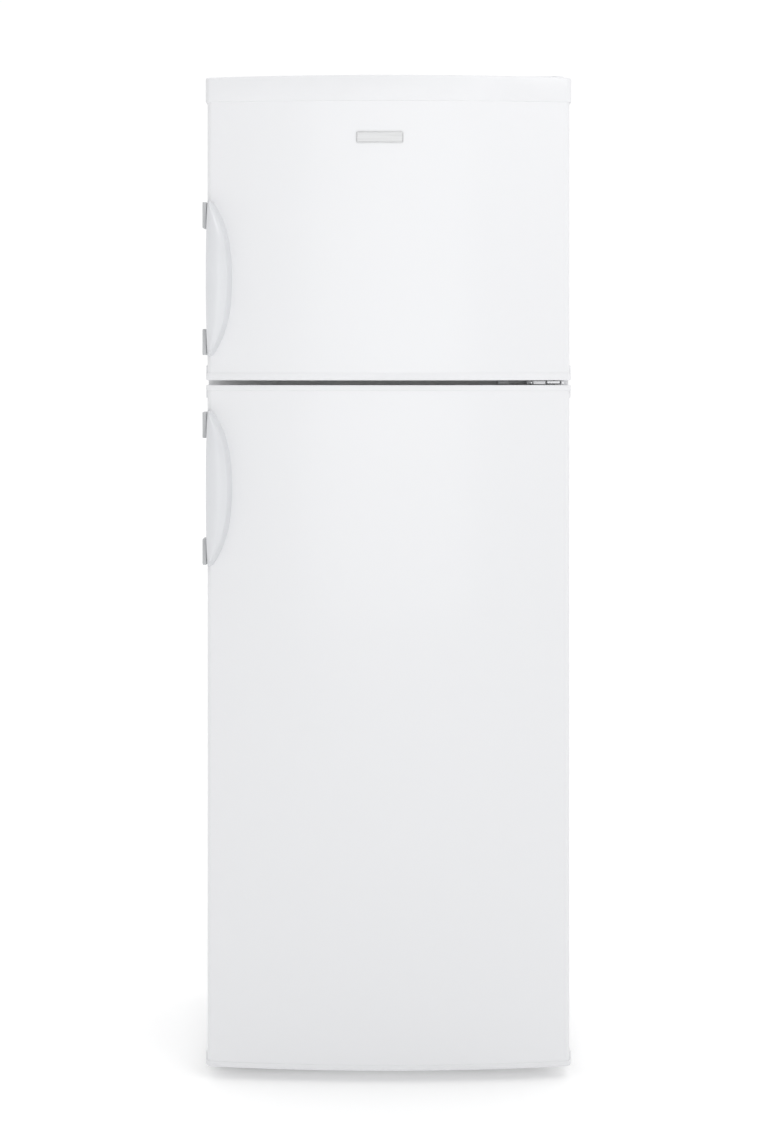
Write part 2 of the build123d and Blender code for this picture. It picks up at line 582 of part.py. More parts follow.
with BuildPart() as shelf_trims:
    for shelf_z in SHELF_HEIGHTS:
        front, back = shelf_depth(shelf_z)
        for y in ((front, front + 16), (back - 14, back)):
            block((-GLASS_HALF - 2, GLASS_HALF + 2), y, (shelf_z - 1.6, shelf_z + GLASS + 3))
        block((-GLASS_HALF, GLASS_HALF), (front + 4, back - 4), (shelf_z, shelf_z + GLASS), Mode.SUBTRACT)
    fillet(shelf_trims.edges().filter_by(Axis.X).group_by(Axis.Y)[0], 1.2)
save(shelf_trims, "shelf_trims")


def crisper(side):
    x = sorted((side * CRISPER_SPLIT, side * CRISPER_OUTER))
    with BuildPart() as drawer:
        tray(x, (CRISPER_FRONT, CRISPER_BACK), CRISPER_Z, 2.4)
        middle = side * (CRISPER_SPLIT + CRISPER_OUTER) / 2
        lip_z = (CRISPER_Z[1] - 46, CRISPER_Z[1] - 40)
        block((middle - 60, middle + 60), (CRISPER_FRONT - 10, CRISPER_FRONT + 1), lip_z)
    return drawer


save(crisper(-1), "crisper_drawer_left")
save(crisper(1), "crisper_drawer_right")

with BuildPart() as door_switch_body:
    bay_x = (BUTTON_AXIS[0] - 9, BUTTON_AXIS[0] + 9)
    bay_z = (BUTTON_AXIS[1] - 12, BUTTON_AXIS[1] + 12)
    block(bay_x, (CABINET_FRONT + SHEET, CABINET_FRONT + 30), bay_z)
    start = (BUTTON_AXIS[0], CABINET_FRONT - 1, BUTTON_AXIS[1])
    rod(start, 26, 4.5 + 0.3, (0, 1, 0), Mode.SUBTRACT)
save(door_switch_body, "door_switch_body")

with BuildPart() as door_switch_button:
    start = (BUTTON_AXIS[0], CABINET_FRONT - 7, BUTTON_AXIS[1])
    rod(start, 24, 4.5, (0, 1, 0))
    fillet(door_switch_button.faces().sort_by(Axis.Y)[0].edges(), 1.5)
save(door_switch_button, "door_switch_button")


def front_foot(side):
    with BuildPart() as foot:
        with Locations((side * FOOT_X, FOOT_Y, 0)):
            Cylinder(19, 7, align=(Align.CENTER, Align.CENTER, Align.MIN))
        fillet(foot.faces().sort_by(Axis.Z)[-1].edges(), 2)
        with BuildSketch(Plane.XY.offset(7)) as collar:
            with Locations((side * FOOT_X, FOOT_Y)):
                RegularPolygon(11, 6)
        extrude(collar.sketch, amount=6)
        rod((side * FOOT_X, FOOT_Y, 12), 28, FOOT_STUD, (0, 0, 1))
    return foot


save(front_foot(-1), "front_foot_left")
save(front_foot(1), "front_foot_right")


def rear_roller(side):
    with BuildPart() as roller:
        rod((side * ROLLER_X - 8, ROLLER_Y, ROLLER_RADIUS), 16, ROLLER_RADIUS, (1, 0, 0))
        fillet(roller.edges().filter_by(GeomType.CIRCLE), 1.5)
        rod((side * ROLLER_X - 13, ROLLER_Y, ROLLER_RADIUS), 26, AXLE_RADIUS, (1, 0, 0))
    return roller


save(rear_roller(-1), "rear_roller_left")
save(rear_roller(1), "rear_roller_right")


# ================= doors =================

def door_panel(limits, caps):
    """The steel skin: bowed front and sides, with a short return along each side of the back."""
    low = limits[0] + caps[0]
    high = limits[1] - caps[1]
    with BuildPart() as panel:
        extrude(door_plan(low), amount=high - low)
        extrude(door_plan(low, -SHEET, DOOR_BACK + 1), amount=high - low, mode=Mode.SUBTRACT)
        for side in (-1, 1):
            x = sorted((side * (DOOR_HALF - 14), side * (DOOR_HALF - SHEET)))
            block(x, (DOOR_BACK - SHEET, DOOR_BACK), (low, high))
    return panel


def door_dykes(span, shrink=0.0):
    """The four ridges moulded around the inside of a door."""
    tip = DOOR_BACK + DYKE_DEPTH - shrink
    y = (DOOR_BACK - 1, tip)
    for side in (-1, 1):
        x = sorted((side * (DYKE_INNER + shrink), side * (DYKE_OUTER - shrink)))
        yield x, y, (span[0] + shrink, span[1] - shrink)
    reach = DYKE_INNER + shrink
    yield (-reach, reach), y, (span[0] + shrink, span[0] + DYKE_HEIGHT - shrink)
    yield (-reach, reach), y, (span[1] - DYKE_HEIGHT + shrink, span[1] - shrink)


def door_liner(limits, span):
    with BuildPart() as liner:
        plate_z = (limits[0] + 5, limits[1] - 6)
        block((-DOOR_LINER_HALF, DOOR_LINER_HALF), (DOOR_BACK, DOOR_BACK + DOOR_LINER), plate_z)
        for x, y, z in door_dykes(span):
            block(x, (DOOR_BACK, y[1]), z)
        for x, y, z in door_dykes(span, DOOR_LINER):
            block(x, y, z, Mode.SUBTRACT)
    return liner


def door_foam(limits, caps, span, name):
    """The core between skin and liner, with the ridges as slabs that meet it."""
    low = limits[0] + caps[0]
    high = min(limits[1] - caps[1], limits[1] - 9)
    pieces = []
    with BuildPart() as core:
        extrude(door_plan(low, -SHEET, DOOR_BACK - SHEET), amount=high - low)
    pieces.append(core.part)
    for x, y, z in door_dykes(span, DOOR_LINER):
        pieces.append(foam_slab(x, (DOOR_BACK - SHEET, y[1]), z))
    export_step(Compound(children=pieces, label=name), f"parts/{name}.step")


def door_gasket(half, span, name):
    """Four strips of magnetic seal, mitred and welded at the corners."""
    inner = (half, span[0], span[1])
    outer = (half + GASKET_WIDTH, span[0] - GASKET_WIDTH, span[1] + GASKET_WIDTH)
    inside = [(-inner[0], inner[1]), (inner[0], inner[1]), (inner[0], inner[2]), (-inner[0], inner[2])]
    outside = [(-outer[0], outer[1]), (outer[0], outer[1]), (outer[0], outer[2]), (-outer[0], outer[2])]
    strips = []
    for corner in range(4):
        following = (corner + 1) % 4
        mitred = (inside[corner], outside[corner], outside[following], inside[following])
        with BuildPart() as strip:
            with BuildSketch(Plane.XZ.offset(-(DOOR_BACK + DOOR_LINER))) as face:
                with BuildLine():
                    Polyline(*mitred, close=True)
                make_face()
            extrude(amount=-GASKET_DEPTH)
        strips.append(strip.part)
    export_step(Compound(children=strips, label=name), f"parts/{name}.step")


def plain_cap(low, height, upward, bore_z):
    """A moulded end cap whose skirt laps over the door's sides."""
    skirt = CAP_SKIRT if upward else -CAP_SKIRT
    skirt_low = low if upward else low - CAP_SKIRT
    seam = low + height if upward else low - CAP_SKIRT
    with BuildPart() as cap:
        extrude(door_plan(skirt_low, CAP_GROW), amount=height + CAP_SKIRT)
        extrude(door_plan(seam), amount=CAP_SKIRT, mode=Mode.SUBTRACT)
        front_zone = (DOOR_FRONT - DOOR_BOW - 10, DOOR_FRONT + DOOR_CORNER + 3)
        seam_z = (seam, seam + abs(skirt))
        block((-DOOR_HALF - 5, DOOR_HALF + 5), front_zone, seam_z, Mode.SUBTRACT)
        rod((HINGE_X, HINGE_Y, bore_z), 60, PIN_RADIUS + RUNNING_FIT, (0, 0, 1), Mode.SUBTRACT)
    return cap.part


def top_trim():
    """The tall cap on the freezer door: a crowned shell with a boss for the upper hinge pin."""
    high = FREEZER_DOOR[1]
    low = high - TOP_TRIM_HEIGHT
    with BuildPart() as trim:
        extrude(door_plan(low, CAP_GROW + 0.6), amount=TOP_TRIM_HEIGHT + TOP_TRIM_CROWN)
        with BuildSketch(Plane.XZ) as above:
            half = DOOR_HALF + CAP_GROW + 0.6
            with BuildLine():
                ThreePointArc((-half, high), (0, high + TOP_TRIM_CROWN), (half, high))
                Polyline((half, high), (half + 1, high), (half + 1, high + 20), (-half - 1, high + 20),
                         (-half - 1, high), (-half, high))
            make_face()
        extrude(above.sketch, amount=400, both=True, mode=Mode.SUBTRACT)
        inner_height = TOP_TRIM_HEIGHT - TOP_TRIM_WALL
        extrude(door_plan(low, -TOP_TRIM_WALL, DOOR_BACK - TOP_TRIM_WALL), amount=inner_height, mode=Mode.SUBTRACT)
        rod((HINGE_X, HINGE_Y, high - 26), 25, 12, (0, 0, 1))
        rod((HINGE_X, HINGE_Y, high - 30), 60, PIN_RADIUS + RUNNING_FIT, (0, 0, 1), Mode.SUBTRACT)
    return trim.part


def door_end_caps(door, limits, name):
    heights = END_CAP_HEIGHTS[door]
    bottom = plain_cap(limits[0], heights[0], True, limits[0] - 20)
    if door == "freezer":
        top = top_trim()
    else:
        top = plain_cap(limits[1] - heights[1], heights[1], False, limits[1] - 50)
    export_step(Compound(children=[bottom, top], label=name), f"parts/{name}.step")


def handle_face(plane):
    """The D seen from the front: straight left edge and half an ellipse on the right."""
    with BuildSketch(plane) as face:
        with BuildLine():
            Line((HANDLE_LEFT, HANDLE_HALF), (HANDLE_LEFT, -HANDLE_HALF))
            EllipticalCenterArc((HANDLE_LEFT, 0), HANDLE_RIGHT - HANDLE_LEFT, HANDLE_HALF,
                                start_angle=-90, arc_size=180)
        make_face()
    return face.sketch


def finger_space(plane):
    """The hollow behind the grip, open towards the side of the door."""
    gap = HANDLE_HALF - HANDLE_END_BLOCK
    shoulder = HANDLE_RIGHT - 16
    with BuildSketch(plane) as face:
        with BuildLine():
            Polyline((shoulder, -gap), (HANDLE_LEFT - 8, -gap), (HANDLE_LEFT - 8, gap), (shoulder, gap))
            ThreePointArc((shoulder, gap), (HANDLE_RIGHT - HANDLE_WALL, 0), (shoulder, -gap))
        make_face()
    return face.sketch


def grip_relief(height):
    """What is cut from the grip so that it falls away from its ridge to the side of the door."""
    left = HANDLE_LEFT - 1
    right = HANDLE_RIGHT + 1
    with BuildSketch(Plane.XY.offset(height)) as relief:
        with BuildLine():
            Polyline((left, GRIP_LEFT_Y), (left, -330), (right, -330), (right, GRIP_RIGHT_Y))
            ThreePointArc((right, GRIP_RIGHT_Y), (GRIP_RIDGE_X, HANDLE_FRONT + 0.2), (left, GRIP_LEFT_Y))
        make_face()
    return relief.sketch


def side_cap_heights(middle):
    """The (low, high) heights of the two covers on the side of the door, at the ends of a handle."""
    for side in (-1, 1):
        end = middle + side * (HANDLE_HALF - HANDLE_END_BLOCK / 2 - 1.3)
        yield end - SIDE_CAP_HALF, end + SIDE_CAP_HALF


def door_handle(middle):
    toward_front = (0, -1, 0)
    root = Plane((0, DOOR_FRONT + 8, middle), x_dir=(1, 0, 0), z_dir=toward_front)
    with BuildPart() as handle:
        extrude(handle_face(root), amount=root.origin.Y - HANDLE_FRONT)
        extrude(grip_relief(middle - HANDLE_HALF - 1), amount=2 * HANDLE_HALF + 2, mode=Mode.SUBTRACT)
        depth = root.origin.Y - HANDLE_FRONT - 2 * HANDLE_WALL
        extrude(finger_space(root), amount=depth, mode=Mode.SUBTRACT)
        extrude(door_plan(middle - 200), amount=400, mode=Mode.SUBTRACT)
    return handle


def handle_end_caps(middle):
    with BuildPart() as caps:
        for cap_z in side_cap_heights(middle):
            block(SIDE_CAP_X, SIDE_CAP_Y, cap_z)
        fillet(caps.edges().filter_by(Axis.Y).group_by(Axis.X)[0], 4)
        extrude(door_plan(middle - 200), amount=400, mode=Mode.SUBTRACT)
    return caps


def door_bins(bins, front):
    with BuildPart() as shelf_bins:
        for low, high in bins:
            tray((-DYKE_INNER + 1, DYKE_INNER - 1), (DOOR_BACK + DOOR_LINER, front), (low, high), BIN_WALL)
    return shelf_bins


def make_door(door, limits, cavity, middle, bins, bin_front):
    """Every piece of one door except the dairy compartment."""
    caps = END_CAP_HEIGHTS[door]
    span = (cavity[0] + 10, cavity[1] - 10)
    save(door_panel(limits, caps), f"{door}_door_panel")
    save(door_liner(limits, span), f"{door}_door_liner")
    door_foam(limits, caps, span, f"{door}_door_foam")
    door_gasket(FRIDGE_HALF + 1, (cavity[0] - 1, cavity[1] + 1), f"{door}_door_gasket")
    door_end_caps(door, limits, f"{door}_door_end_caps")
    save(door_handle(middle), f"{door}_door_handle")
    save(handle_end_caps(middle), f"{door}_handle_end_caps")
    return door_bins(bins, bin_front)


freezer_bins = make_door("freezer", FREEZER_DOOR, FREEZER_Z, HANDLE_MIDDLES["freezer"], FREEZER_BINS,
                         FREEZER_BIN_FRONT)
save(freezer_bins, "freezer_door_bins")

fridge_bins = make_door("fridge", FRIDGE_DOOR, FRIDGE_Z, HANDLE_MIDDLES["fridge"], FRIDGE_BINS, BIN_FRONT)
with BuildPart() as fridge_door_bins:
    add(fridge_bins.part)
    for side in (-1, 1):
        ear_x = sorted((side * (DYKE_INNER - 1), side * (DYKE_INNER - 4)))
        block(ear_x, (DOOR_BACK + DOOR_LINER, DAIRY_HINGE[0] + 8), (980, DAIRY_HINGE[1] + 8))
    start = (-DYKE_INNER - 5, *DAIRY_HINGE)
    rod(start, 2 * DYKE_INNER + 10, DAIRY_PIN + RUNNING_FIT, (1, 0, 0), Mode.SUBTRACT)
save(fridge_door_bins, "fridge_door_bins")

with BuildPart() as dairy_lid:
    reach = DYKE_INNER - 5
    hinge_y, hinge_z = DAIRY_HINGE
    block((-reach, reach), (hinge_y - 4, BIN_FRONT + 4), (hinge_z - 1.5, hinge_z + 1.5))
    block((-reach, reach), (BIN_FRONT + 1, BIN_FRONT + 4), (940, hinge_z + 1.5))
    rod((-DYKE_INNER + 2, hinge_y, hinge_z), 2 * DYKE_INNER - 4, DAIRY_PIN, (1, 0, 0))
save(dairy_lid, "dairy_lid")


def raised_plate(x, z):
    """A blank plate lying on the bowed door front."""
    with BuildPart() as plate:
        extrude(door_plan(z[0], 1.4), amount=z[1] - z[0])
        extrude(door_plan(z[0] - 1), amount=z[1] - z[0] + 2, mode=Mode.SUBTRACT)
        keep = Box(x[1] - x[0], 80, z[1] - z[0] + 4, mode=Mode.PRIVATE)
        place = ((x[0] + x[1]) / 2, DOOR_FRONT - 20, (z[0] + z[1]) / 2)
        add(Pos(*place) * keep, mode=Mode.INTERSECT)
        fillet(plate.edges().filter_by(Axis.Y), 3)
    return plate


save(raised_plate((-52, 24), (1512, 1531)), "name_plate")
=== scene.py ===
import json
import math

import bmesh
import bpy
from mathutils import Matrix, Vector


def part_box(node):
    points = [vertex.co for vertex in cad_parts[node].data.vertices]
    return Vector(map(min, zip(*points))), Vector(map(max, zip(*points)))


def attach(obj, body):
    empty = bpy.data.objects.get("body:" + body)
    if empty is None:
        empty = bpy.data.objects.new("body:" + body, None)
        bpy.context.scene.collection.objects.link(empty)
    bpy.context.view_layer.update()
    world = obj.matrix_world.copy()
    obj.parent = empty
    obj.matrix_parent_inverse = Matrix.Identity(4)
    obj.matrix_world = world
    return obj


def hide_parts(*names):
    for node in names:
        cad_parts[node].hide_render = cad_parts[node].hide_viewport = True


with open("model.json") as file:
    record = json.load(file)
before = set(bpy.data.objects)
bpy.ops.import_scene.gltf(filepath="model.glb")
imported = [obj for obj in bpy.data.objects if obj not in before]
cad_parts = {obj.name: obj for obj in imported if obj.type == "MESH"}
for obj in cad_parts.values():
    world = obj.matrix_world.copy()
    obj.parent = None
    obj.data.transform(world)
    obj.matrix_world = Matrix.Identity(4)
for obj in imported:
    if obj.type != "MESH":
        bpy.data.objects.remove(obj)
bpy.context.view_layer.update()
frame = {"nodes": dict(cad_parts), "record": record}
NODES = frame["nodes"]
RECORD = frame["record"]
MM = 0.001
WELD = 0.002 * MM


# ================= where things are, from the frame =================

def span(node):
    """Lowest and highest corner of a CAD node, as two vectors."""
    low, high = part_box(node)
    return Vector(low), Vector(high)


def welded(node):
    """A CAD node's mesh with its triangles joined up."""
    bm = bmesh.new()
    bm.from_mesh(NODES[node].data)
    bmesh.ops.remove_doubles(bm, verts=bm.verts, dist=WELD)
    return bm


def islands(node):
    """The (low, high) corners of each separate solid of a CAD node, from the lowest up."""
    bm = welded(node)
    waiting = set(bm.verts)
    boxes = []
    while waiting:
        reached = [waiting.pop()]
        for vert in reached:
            for edge in vert.link_edges:
                other = edge.other_vert(vert)
                if other in waiting:
                    waiting.remove(other)
                    reached.append(other)
        low = Vector([min(vert.co[axis] for vert in reached) for axis in range(3)])
        high = Vector([max(vert.co[axis] for vert in reached) for axis in range(3)])
        boxes.append((low, high))
    bm.free()
    return sorted(boxes, key=lambda box: (round(box[0].z, 4), box[0].x, box[0].y))


def sides(inner, outer):
    """The (low, high) x of something between two distances from the middle, on the left and on the right."""
    return (-outer, -inner), (inner, outer)


def rounded_edge(steps):
    """Pairs along a rounded edge, as shares of its radius: one falls from 1 to 0 and the other rises from 0 to 1."""
    angles = [math.pi / 2 * step / steps for step in range(steps + 1)]
    return [(1 - math.sin(angle), 1 - math.cos(angle)) for angle in angles]


def circle(steps):
    """(cosine, sine) pairs all the way round."""
    angles = [2 * math.pi * step / steps for step in range(steps)]
    return [(math.cos(angle), math.sin(angle)) for angle in angles]


SLOT_OF = {entry["node"]: entry["material_slot"] for entry in RECORD["subparts"]}
BODY_OF = {node: body for body, nodes in RECORD["behaviour"]["bodies"].items() for node in nodes}

PANEL_LOW, PANEL_HIGH = span("fridge_door_panel")
DOOR_HALF = PANEL_HIGH.x
DOOR_BOW = 24 * MM
DOOR_FRONT = PANEL_LOW.y + DOOR_BOW
DOOR_BACK = PANEL_HIGH.y
DOOR_CORNER = 9 * MM
DOOR_SHEET = 0.8 * MM

# How far the caps stand out past the door's skin at the sides and in front, and the shadow line between them.
CAP_GROW = 2.4 * MM
TRIM_GROW = 3.0 * MM
FRONT_GROW = 0.4 * MM
SEAM = 0.7 * MM


# ================= materials =================

WHITE = (0.785, 0.79, 0.805)
TEXTURE_MIDDLE = (0.3, 0.7)


def wired(tree, kind, inputs, **settings):
    """The outputs of a new shader node, whose inputs are linked to sockets or set to constants."""
    node = tree.nodes.new(f"ShaderNode{kind}")
    for name, value in settings.items():
        setattr(node, name, value)
    for key, value in inputs.items():
        if isinstance(value, bpy.types.NodeSocket):
            tree.links.new(value, node.inputs[key])
        else:
            node.inputs[key].default_value = value
    return node.outputs


def ranged(tree, value, limits, results, curve="LINEAR"):
    """Maps what lies between two limits to what lies between two results."""
    inputs = dict(zip(("From Min", "From Max", "To Min", "To Max"), (*limits, *results)))
    return wired(tree, "MapRange", {**inputs, "Value": value}, interpolation_type=curve)["Result"]


class Finish:
    """One procedural material: a shader and the textures that feed it."""

    def __init__(self, name, colour, roughness, **constants):
        self.name = name
        self.material = bpy.data.materials.new(name)
        self.material.use_nodes = True
        self.tree = self.material.node_tree
        self.shader = self.tree.nodes["Principled BSDF"]
        self.colour = colour
        self.set("Base Color", (*colour, 1.0))
        self.set("Roughness", roughness)
        for socket, value in constants.items():
            self.set(socket.replace("_", " "), value)
        self.place = wired(self.tree, "TexCoord", {})["Object"]

    def set(self, socket, value):
        """Puts a constant on one of the shader's sockets."""
        self.shader.inputs[socket].default_value = value

    def feed(self, socket, source):
        """Links a texture to one of the shader's sockets."""
        self.tree.links.new(source, self.shader.inputs[socket])
        return self

    def stretched(self, scale):
        """The object's own coordinates, squeezed along its axes."""
        return wired(self.tree, "Mapping", {"Scale": scale, "Vector": self.place})["Vector"]

    def noise(self, scale, detail=2.0, place=None):
        """Cloudy variation, finer with a larger scale."""
        return wired(self.tree, "TexNoise", {"Scale": scale, "Detail": detail, "Vector": place or self.place})["Fac"]

    def cells(self, scale, output="Distance"):
        """Closed cells, for crystals or foam."""
        return wired(self.tree, "TexVoronoi", {"Scale": scale, "Vector": self.place})[output]

    def mottle(self, factor, other):
        """Drifts the colour towards another one, or a share of its own, where the factor is high."""
        if not isinstance(other, tuple):
            other = tuple(channel * other for channel in self.colour)
        ramp = self.tree.nodes.new("ShaderNodeValToRGB")
        for stop, position, colour in zip(ramp.color_ramp.elements, TEXTURE_MIDDLE, (self.colour, other)):
            stop.position = position
            stop.color = (*colour, 1.0)
        self.tree.links.new(factor, ramp.inputs["Fac"])
        return self.feed("Base Color", ramp.outputs["Color"])

    def worn(self, factor, low, high):
        """Lets the roughness wander between two values."""
        return self.feed("Roughness", ranged(self.tree, factor, TEXTURE_MIDDLE, (low, high)))

    def bump(self, factor, depth, strength=1.0):
        """Adds relief of a depth in metres on top of any that is there."""
        inputs = {"Strength": strength, "Distance": depth, "Height": factor}
        previous = self.shader.inputs["Normal"]
        if previous.is_linked:
            inputs["Normal"] = previous.links[0].from_socket
        return self.feed("Normal", wired(self.tree, "Bump", inputs)["Normal"])


def textured(name, colour, roughness, clouds, other, wear, *reliefs, **constants):
    """Clouds of another colour, a wandering gloss and reliefs in millimetres, each from a (scale, detail) of noise."""
    finish = Finish(name, colour, roughness, **constants)
    finish.mottle(finish.noise(*clouds), other)
    if wear:
        grain, low, high = wear
        finish.worn(finish.noise(*grain), low, high)
    for grain, depth, strength in reliefs:
        finish.bump(finish.noise(*grain), depth * MM, strength)
    return finish


def moulded(name, colour, roughness, grain=1400.0, depth=0.02):
    """Injection-moulded plastic with a fine spark-eroded grain."""
    wear = ((40.0, 3.0), roughness - 0.04, roughness + 0.06)
    return textured(name, colour, roughness, (9.0, 3.0), 0.97, wear, ((grain, 3.0), depth, 0.6), IOR=1.48)


def zinc(name, colour, roughness, spangle):
    """Galvanised sheet: crystals with slightly different greys and gloss."""
    finish = Finish(name, colour, roughness, Metallic=1.0)
    finish.mottle(finish.cells(spangle, "Color"), 0.82)
    finish.worn(finish.noise(spangle * 0.6, 3.0), roughness - 0.08, roughness + 0.12)
    return finish.bump(finish.noise(spangle * 5, 2.0), 0.02 * MM, 0.4)


def brushed():
    """Metal brushed along its length."""
    finish = Finish("brushed_badge", (0.64, 0.645, 0.65), 0.34, Metallic=1.0)
    lines = finish.stretched((12.0, 60.0, 900.0))
    finish.mottle(finish.noise(1.0, 3.0, lines), 0.86)
    return finish.bump(finish.noise(2.0, 3.0, lines), 0.015 * MM, 0.5)


def clear(name, colour, roughness, weight, ripple):
    """Clear moulded plastic or glass."""
    finish = Finish(name, colour, roughness, Transmission_Weight=weight, IOR=1.5)
    finish.worn(finish.noise(30.0, 4.0), roughness, roughness + 0.08)
    return finish.bump(finish.noise(ripple, 2.0), 0.05 * MM, 0.3)


def foam():
    """Poured insulation with open cells."""
    finish = Finish("foam", (0.80, 0.70, 0.42), 0.9)
    finish.mottle(finish.noise(20.0, 5.0), (0.66, 0.54, 0.28))
    return finish.bump(finish.cells(500.0), 0.5 * MM, 0.8)


FINISHES = {finish.name: finish for finish in (
    # Baked on sheet steel: faint orange peel, and the sheet just off flat.
    textured(
        "white_enamel", WHITE, 0.30, (1.3, 1.0), 0.993, ((5.0, 1.0), 0.28, 0.32),
        ((420.0, 2.0), 0.03, 0.5), ((3.0, 0.0), 0.2, 0.4), Coat_Weight=0.25, Coat_Roughness=0.12, IOR=1.5),
    moulded("white_cap_plastic", WHITE, 0.34, 1500.0, 0.012),
    # Satin, a little greyer than the doors.
    textured(
        "pearl_handle_plastic", (0.70, 0.71, 0.73), 0.30, (14.0, 1.0), 0.985, ((20.0, 1.0), 0.29, 0.33),
        ((1800.0, 1.0), 0.008, 0.5), Coat_Weight=0.3, Coat_Roughness=0.18, IOR=1.5),
    moulded("grey_trim_plastic", (0.51, 0.52, 0.53), 0.48),
    # Vacuum-formed polystyrene with its slight waviness.
    textured(
        "liner_plastic", (0.80, 0.80, 0.79), 0.34, (3.0, 2.0), 0.975, ((11.0, 3.0), 0.30, 0.42),
        ((16.0, 2.0), 0.25, 0.5), ((900.0, 2.0), 0.01, 0.5), IOR=1.52,
        Subsurface_Weight=0.05, Subsurface_Radius=(4 * MM, 3 * MM, 2.5 * MM)),
    # Soft, dull and a little grubby.
    textured(
        "gasket_vinyl", (0.60, 0.61, 0.60), 0.55, (25.0, 4.0), 0.9, None, ((500.0, 3.0), 0.04, 0.6),
        Sheen_Weight=0.12, Sheen_Roughness=0.5),
    foam(),
    zinc("galvanised_steel", (0.52, 0.54, 0.56), 0.42, 90.0),
    zinc("zinc_screws", (0.62, 0.63, 0.64), 0.28, 260.0),
    # Dipped paint on the compressor and the condenser.
    textured(
        "black_enamel", (0.018, 0.018, 0.02), 0.38, (35.0, 5.0), (0.035, 0.034, 0.033), ((22.0, 5.0), 0.3, 0.55),
        ((420.0, 3.0), 0.05, 0.6), Coat_Weight=0.4, Coat_Roughness=0.22),
    # With a dusty bloom.
    textured(
        "black_rubber", (0.02, 0.02, 0.021), 0.75, (60.0, 4.0), (0.04, 0.039, 0.037), None,
        ((700.0, 4.0), 0.06, 0.7), Sheen_Weight=0.1),
    moulded("black_plastic", (0.022, 0.022, 0.024), 0.5, 900.0, 0.05),
    # Drawn tube that has begun to darken.
    textured(
        "copper_pipe", (0.72, 0.36, 0.22), 0.3, (38.0, 6.0), (0.38, 0.19, 0.12), ((55.0, 5.0), 0.22, 0.5),
        ((300.0, 3.0), 0.03, 0.4), Metallic=1.0),
    textured(
        "aluminium_fins", (0.78, 0.79, 0.80), 0.34, (45.0, 4.0), 0.85, None, ((260.0, 3.0), 0.03, 0.4), Metallic=1.0),
    clear("clear_styrene", (0.955, 0.98, 0.985), 0.06, 0.90, 60.0),
    clear("frosted_lens", (0.95, 0.95, 0.93), 0.45, 0.75, 900.0),
    clear("shelf_glass", (0.82, 0.95, 0.90), 0.02, 0.96, 8.0),
    clear("bulb_glass", (0.98, 0.97, 0.94), 0.03, 0.95, 20.0),
    moulded("nylon", (0.68, 0.68, 0.66), 0.5, 600.0, 0.03),
    moulded("ice_blue_plastic", (0.36, 0.56, 0.72), 0.36, 900.0, 0.02),
    moulded("white_plastic", (0.74, 0.745, 0.745), 0.42, 1100.0, 0.03),
    brushed(),
)}


# ================= pieces =================

def dress(obj, slot, body):
    """Gives a piece its finish and the body it moves with."""
    obj.data.materials.clear()
    obj.data.materials.append(FINISHES[slot].material)
    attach(obj, body)


def settle(obj, node):
    """The piece stands for this CAD node: it takes its finish and moves with its body."""
    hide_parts(node)
    dress(obj, SLOT_OF[node], BODY_OF[node])


def piece(name, bm, sharp=35.0):
    """A finished mesh object from a bmesh, smooth up to an angle in degrees."""
    bmesh.ops.recalc_face_normals(bm, faces=bm.faces)
    mesh = bpy.data.meshes.new(name)
    bm.to_mesh(mesh)
    bm.free()
    mesh.shade_smooth()
    mesh.set_sharp_from_angle(angle=math.radians(sharp))
    obj = bpy.data.objects.new(name, mesh)
    bpy.context.scene.collection.objects.link(obj)
    return obj


def loft(bm, rings, closed=False):
    """Skins rings of equal point counts, and closes both ends unless the rings make a loop."""
    rows = [[bm.verts.new(point) for point in ring] for ring in rings]
    count = len(rows[0])
    pairs = list(zip(rows, rows[1:]))
    if closed:
        pairs.append((rows[-1], rows[0]))
    for one, other in pairs:
        for i in range(count):
            j = (i + 1) % count
            bm.faces.new((one[i], one[j], other[j], other[i]))
    if not closed:
        bm.faces.new(rows[0])
        bm.faces.new(rows[-1])


def block(bm, low, high, radius=0.0, segments=2):
    """A box between two corners, with its edges rounded."""
    low, high = Vector(low), Vector(high)
    size = high - low
    place = Matrix.Translation((low + high) / 2) @ Matrix.Diagonal((*size, 1.0))
    made = bmesh.ops.create_cube(bm, size=1.0, matrix=place)
    if radius:
        edges = {edge for vert in made["verts"] for edge in vert.link_edges}
        bmesh.ops.bevel(bm, geom=list(edges), offset=radius, segments=segments, affect="EDGES", profile=0.5)


def turned_to(axis):
    """The turn that takes upright to an axis."""
    return Vector((0, 0, 1)).rotation_difference(Vector(axis)).to_matrix()


def lathe(bm, profile, centre, steps, axis=(0, 0, 1)):
    """Turns (radius, height) points round an axis through a centre."""
    turn = turned_to(axis)
    rings = []
    for radius, height in profile:
        rings.append([Vector(centre) + turn @ Vector((radius * u, radius * v, height)) for u, v in circle(steps)])
    loft(bm, rings)


def softened(node, width):
    """The CAD piece with its sharp edges broken, as a moulding or a folded sheet has them."""
    corner_angle = 30.0
    bm = welded(node)
    bmesh.ops.dissolve_limit(bm, angle_limit=math.radians(1.0), verts=bm.verts, edges=bm.edges)
    obj = piece(f"{node}_soft", bm, corner_angle)
    if width:
        bevel = obj.modifiers.new("broken_edges", "BEVEL")
        bevel.width = width
        bevel.segments = 2
        bevel.limit_method = "ANGLE"
        bevel.angle_limit = math.radians(corner_angle)
        bevel.harden_normals = True
    settle(obj, node)


